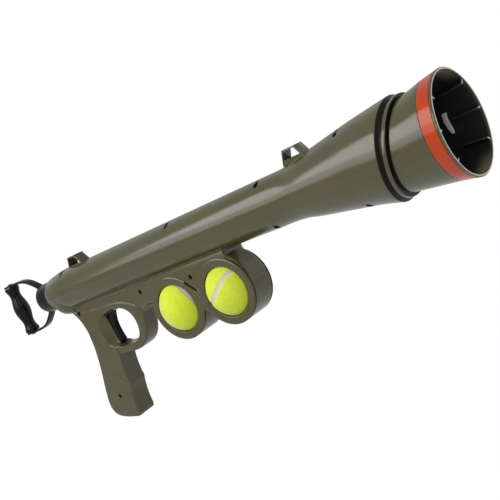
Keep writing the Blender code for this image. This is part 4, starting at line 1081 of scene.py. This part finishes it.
moulded, skin, given, result = new_group(
    "moulded_skin",
    (("Vector", "Vector"), ("Colour", "Color"), ("Drift", "Float"), ("Gloss", "Float"), ("Flow", "Float")),
    (("Colour", "Color"), ("Roughness", "Float"), ("Height", "Float")))
broad = skin.noise(given["Vector"], scale=22, detail=3)
fine = skin.noise(given["Vector"], scale=240, detail=4, rough=0.6)
tone = skin.maths("ADD", broad, skin.maths("MULTIPLY", fine, FINE_SHARE))
drift = skin.maths("MULTIPLY", skin.maths("SUBTRACT", tone, TONE_MIDDLE), given["Drift"])
tint = skin.add("HueSaturation", {"Color": given["Colour"], "Value": skin.maths("ADD", drift, 1.0)})
stretch = skin.add("Mapping", {"Vector": given["Vector"], "Scale": FLOW_STRETCH})
flow = skin.noise(stretch.outputs["Vector"], scale=1.0, detail=3)
swing = skin.maths("MULTIPLY", skin.maths("SUBTRACT", flow, 0.5), given["Flow"])
grain = skin.maths("MULTIPLY", skin.noise(given["Vector"], scale=1500, detail=2), GRAIN_SHARE)
wave = skin.maths("MULTIPLY", skin.noise(given["Vector"], scale=30, detail=1), WAVE_SHARE)
skin.fill(result, {"Colour": tint.outputs["Color"], "Height": skin.maths("ADD", grain, wave),
                   "Roughness": skin.maths("ADD", swing, given["Gloss"], clamp=True)})
print("group", moulded.name)


# %% [markdown]
# Plastics differ in colour, drift and gloss only, so one function places the group in a material
# and connects it. The bump is in tenths of a millimetre, as on a polished mould.

# %% Plastic materials
def plastic(name, colour, drift, gloss, flow, bump=0.0002, strength=0.35, shine=0.5):
    """Drift is how much the colour changes, gloss the roughness, flow how much that changes."""
    mat, graph, shader = new_material(name)
    inputs = {"Vector": graph.add("TexCoord").outputs["Object"], "Colour": (*colour, 1), "Drift": drift,
              "Gloss": gloss, "Flow": flow}
    skin = graph.add("Group", inputs, node_tree=moulded).outputs
    graph.fill(shader, {"Base Color": skin["Colour"], "Roughness": skin["Roughness"],
                        "Specular IOR Level": shine, "Normal": graph.bump(skin["Height"], bump, strength)})
    return mat


olive = plastic("olive_plastic", (0.082, 0.077, 0.032), 0.22, 0.18, 0.07)
black = plastic("black_plastic", (0.006, 0.006, 0.007), 0.5, 0.18, 0.10, shine=0.18)
dull_black = plastic("black_inner_plastic", (0.014, 0.014, 0.015), 0.5, 0.42, 0.12)
orange = plastic("orange_band", (0.500, 0.050, 0.007), 0.12, 0.14, 0.05, shine=0.30)
# Near-black painted shade for the two channels round the collar.
groove_painted_shade = plastic("groove_painted_shade", (0.011, 0.0105, 0.007), 0.5, 0.30, 0.10, shine=0.12)
pale = plastic("pale_plastic", (0.80, 0.77, 0.76), 0.12, 0.25, 0.10)
rubber = plastic("black_rubber", (0.022, 0.022, 0.022), 0.6, 0.75, 0.15, bump=0.0003, strength=0.6)
print("plastics", [m.name for m in (olive, black, dull_black, orange, groove_painted_shade, pale, rubber)])

# %% [markdown]
# ## Mouth finish
# Inside, the cup and the horn are painted near-black as painted shade. Towards the rim this fades
# to a lighter olive as painted light, which reaches further back along the top and the bottom.
# The rim's front edge and the ribs' ends are painted pale as painted highlights, and the ribs'
# crests darker as painted shade. The masks read the place along the tube and the height off the
# axis, in object coordinates, so they stay with the piece.

# %% Bore and rim
# Near-black painted shade for the inside, and a lighter olive painted light near the rim.
LIT_OLIVE, BORE_SHADE = (0.27, 0.25, 0.16), (0.0120, 0.0120, 0.0125, 1)
EDGE_FADE = (CUP_X - 0.004, CUP_X + 0.003)
LIT_X, LIT_HEIGHT = (CUP_X - 0.018, CUP_X - 0.003), (0.033, 0.050)


def bore_shade_skin(name):
    """Near-black painted shade that fades to a lighter olive painted light at the rim and along its top and
    bottom.
    """
    mat = plastic(name, LIT_OLIVE, 0.22, 0.34, 0.10)
    graph = Graph(mat.node_tree)
    skin = next(n for n in graph.nodes if n.type == "GROUP")
    place = next(n for n in graph.nodes if n.type == "TEX_COORD")
    axes = graph.add("SeparateXYZ", {0: place.outputs["Object"]}).outputs
    height = graph.maths("ABSOLUTE", graph.maths("SUBTRACT", axes["Z"], AXIS_Z))
    # The lighter olive at the rim all round, and further back at the top and bottom, is painted light.
    ends = graph.maths("MULTIPLY", graph.soft_step(height, *LIT_HEIGHT), graph.soft_step(axes["X"], *LIT_X))
    share = graph.maths("MAXIMUM", graph.soft_step(axes["X"], *EDGE_FADE), ends)
    colour = graph.mix(share, BORE_SHADE, skin.outputs["Colour"])
    graph.fill(graph.nodes["Principled BSDF"], {"Base Color": colour})
    return mat


bore = bore_shade_skin("bore_painted_shade")
# Pale painted highlights for the rim's front edge and for the ribs' ends.
rim = plastic("rim_painted_highlight", (0.68, 0.66, 0.58), 0.3, 0.32, 0.1)
rib_end = plastic("rib_end_painted_highlight", (0.74, 0.73, 0.68), 0.2, 0.30, 0.10)
# A darker painted shade for the ribs' crests inside the cup.
rib_crest_shade = plastic("rib_crest_shade", (0.050, 0.048, 0.036), 0.3, 0.30, 0.10)
print("bore fades from", EDGE_FADE)

# %% Painting whole pieces and chosen faces


def paint(ob, *mats):
    ob.data.materials.clear()
    for mat in mats:
        ob.data.materials.append(mat)
    return ob


def paint_faces(ob, index, chosen):
    """Give the faces that a rule chooses, by place and normal, another of the piece's materials."""
    count = 0
    for face in ob.data.polygons:
        if chosen(face.center, face.normal):
            face.material_index = index
            count += 1
    return count


def upright_x(centre):
    """Where a point of the leaning collar was before it leant."""
    x = centre.x
    for _ in range(6):
        x = centre.x - RAKE * lean_weight(x) * (centre.z - AXIS_Z)
    return x


def off_axis(centre):
    return math.hypot(centre.y, centre.z - AXIS_Z)


def in_bore(centre, normal):
    """Faces of the horn's and the cup's inner side."""
    radius, lean_x = off_axis(centre), upright_x(centre)
    wall = cup_r(centre.x) - CUP_WALL / 2 if lean_x > CONE_X else barrel_r(centre.x) - WALL / 2
    wall = min(wall, THROAT_R - MM) if COLLAR_X - SPIGOT < lean_x <= CONE_X else wall
    outward = (normal.y * centre.y + normal.z * (centre.z - AXIS_Z)) / radius
    return centre.x > 0.30 and radius < wall and outward < 0.2


def in_groove(centre, normal):
    """Faces of the two channels round the collar, which get the near-black painted shade."""
    radius, lean_x = off_axis(centre), upright_x(centre)
    ring_groove = THROAT_R - MM < radius < RING_R2 - 0.0006 and EDGE_X - 0.0004 < lean_x < CONE_X + 0.0002
    edge_groove = THROAT_R < radius < barrel_r(EDGE_X) - 0.0003 and EDGE_X - 0.0001 < lean_x < COLLAR_X
    return ring_groove or edge_groove


# The rim's front edge and the ribs' ends take the pale painted highlights.
def on_rim(centre, normal):
    return centre.x > CUP_X - 0.45 * RIM_LONG and normal.x > 0.4


def on_rib_end(centre, normal):
    return centre.x > RIB_X[1] - 0.0004 and normal.x > 0.7 and off_axis(centre) < CUP_R - CUP_WALL


# The ribs' crests, which get the painted shade.
def on_rib_crest(centre, normal):
    crest = cup_r(centre.x) - CUP_WALL - 0.3 * RIB_DEEP
    return RIB_X[0] < centre.x < RIB_X[1] - 0.0004 and off_axis(centre) < crest


# The horn's inside gets the bore's painted shade, and the channel at the horn's edge a near-black painted
# shade.
for ob in (shell_right, shell_left):
    paint(ob, olive, bore, groove_painted_shade)
    print(ob.name, "bore faces", paint_faces(ob, 1, in_bore), "groove faces", paint_faces(ob, 2, in_groove))
# The cup: painted shade inside and in its channel, painted highlights on the rim and the ribs' ends, painted
# shade on the ribs' crests.
paint(mouth_cup, olive, bore, groove_painted_shade, rim, rib_end, rib_crest_shade)
for index, (label, chosen) in enumerate((("bore", in_bore), ("groove", in_groove), ("rim", on_rim),
                                         ("rib end", on_rib_end), ("rib crest", on_rib_crest)), 1):
    print("cup", label, "faces", paint_faces(mouth_cup, index, chosen))
paint(mouth_band, orange)
paint(mouth_tab, pale)
for ob in (drive_tube, pull_strap, pull_handle, handle_pin, trigger_lever):
    paint(ob, black)

# %% [markdown]
# ## Felt, steel and the pieces inside
# Felt is a nap of short fibres: its colour is mottled at half a millimetre, its surface is rough
# and lifts towards the light at the edges, which the sheen gives. The seam is smooth pale rubber.
# The plated steel has fine turning lines.

# %% Felt
DEEP_FELT, PALE_FELT = (0.62, 0.80, 0.014), (0.84, 0.96, 0.070)
SEAM_COLOUR = (0.66, 0.62, 0.60, 1)
MOTTLE_SHARE, CLOUD_SHARE = 0.7, 0.3
FELT_ROUGH, SEAM_SMOOTHER = 0.95, 0.35
felt, graph, shader = new_material("felt_and_seam")
place = graph.add("TexCoord").outputs["Object"]
seam = graph.add("Attribute", attribute_name="seam").outputs["Fac"]
mottle = graph.noise(place, scale=420, detail=4, rough=0.65)
cloud = graph.maths("MULTIPLY", graph.noise(place, scale=60, detail=2), CLOUD_SHARE)
tone = graph.maths("ADD", graph.maths("MULTIPLY", mottle, MOTTLE_SHARE), cloud)
nap = graph.maths("MULTIPLY", mottle, graph.maths("SUBTRACT", 1.0, seam))
rough = graph.maths("SUBTRACT", FELT_ROUGH, graph.maths("MULTIPLY", seam, SEAM_SMOOTHER))
colour = graph.mix(seam, graph.ramp(tone, (0.30, DEEP_FELT), (0.68, PALE_FELT)), SEAM_COLOUR)
graph.fill(shader, {"Base Color": colour, "Roughness": rough, "Sheen Weight": 0.2, "Sheen Roughness": 0.5,
                    "Normal": graph.bump(nap, distance=0.0006, strength=0.7)})
for name in ("ball_front", "ball_rear"):
    paint(bpy.data.objects[name], felt)
print("felt", len(graph.nodes), "nodes")

# %% Steel
LINE_SHARE, SPOT_TONE = 0.18, 0.82


def metal(name, colour, gloss, stretch_by):
    """Plated steel with fine lines across the stretch and darker spots."""
    mat, graph, shader = new_material(name)
    place = graph.add("TexCoord").outputs["Object"]
    stretch = graph.add("Mapping", {"Vector": place, "Scale": stretch_by})
    lines = graph.noise(stretch.outputs["Vector"], scale=1.0, detail=3, rough=0.6)
    spots = graph.noise(place, scale=160, detail=3)
    tone = graph.ramp(spots, (0.3, [SPOT_TONE * v for v in colour]), (0.7, colour))
    rough = graph.maths("ADD", graph.maths("MULTIPLY", lines, LINE_SHARE), gloss - LINE_SHARE / 2)
    graph.fill(shader, {"Metallic": 1.0, "Base Color": tone, "Roughness": rough,
                        "Normal": graph.bump(lines, distance=0.00005, strength=0.4)})
    return mat


steel = metal("plated_steel", (0.56, 0.56, 0.57), 0.32, (900, 60, 60))
dark_steel = metal("blackened_screw", (0.09, 0.09, 0.09), 0.38, (500, 60, 500))
for n in range(1, 11):
    paint(bpy.data.objects["screw_%02d" % n], dark_steel)
for ob in coils:
    paint(ob, steel)
INSIDE = ((dull_black, ("plunger_plug", "plunger_head", "rear_guide_ring", "spring_plate")),
          (steel, ("plunger_rod", "rod_nut", "sear", "sear_spring", "trigger_pin", "sear_pin")),
          (rubber, ("stop_bumper", "head_pad")), (dark_steel, ("bow_screw_1", "bow_screw_2")))
for mat, names in INSIDE:
    for name in names:
        for slot in frame["nodes"][name].material_slots:
            slot.material = mat
print("inner pieces finished")
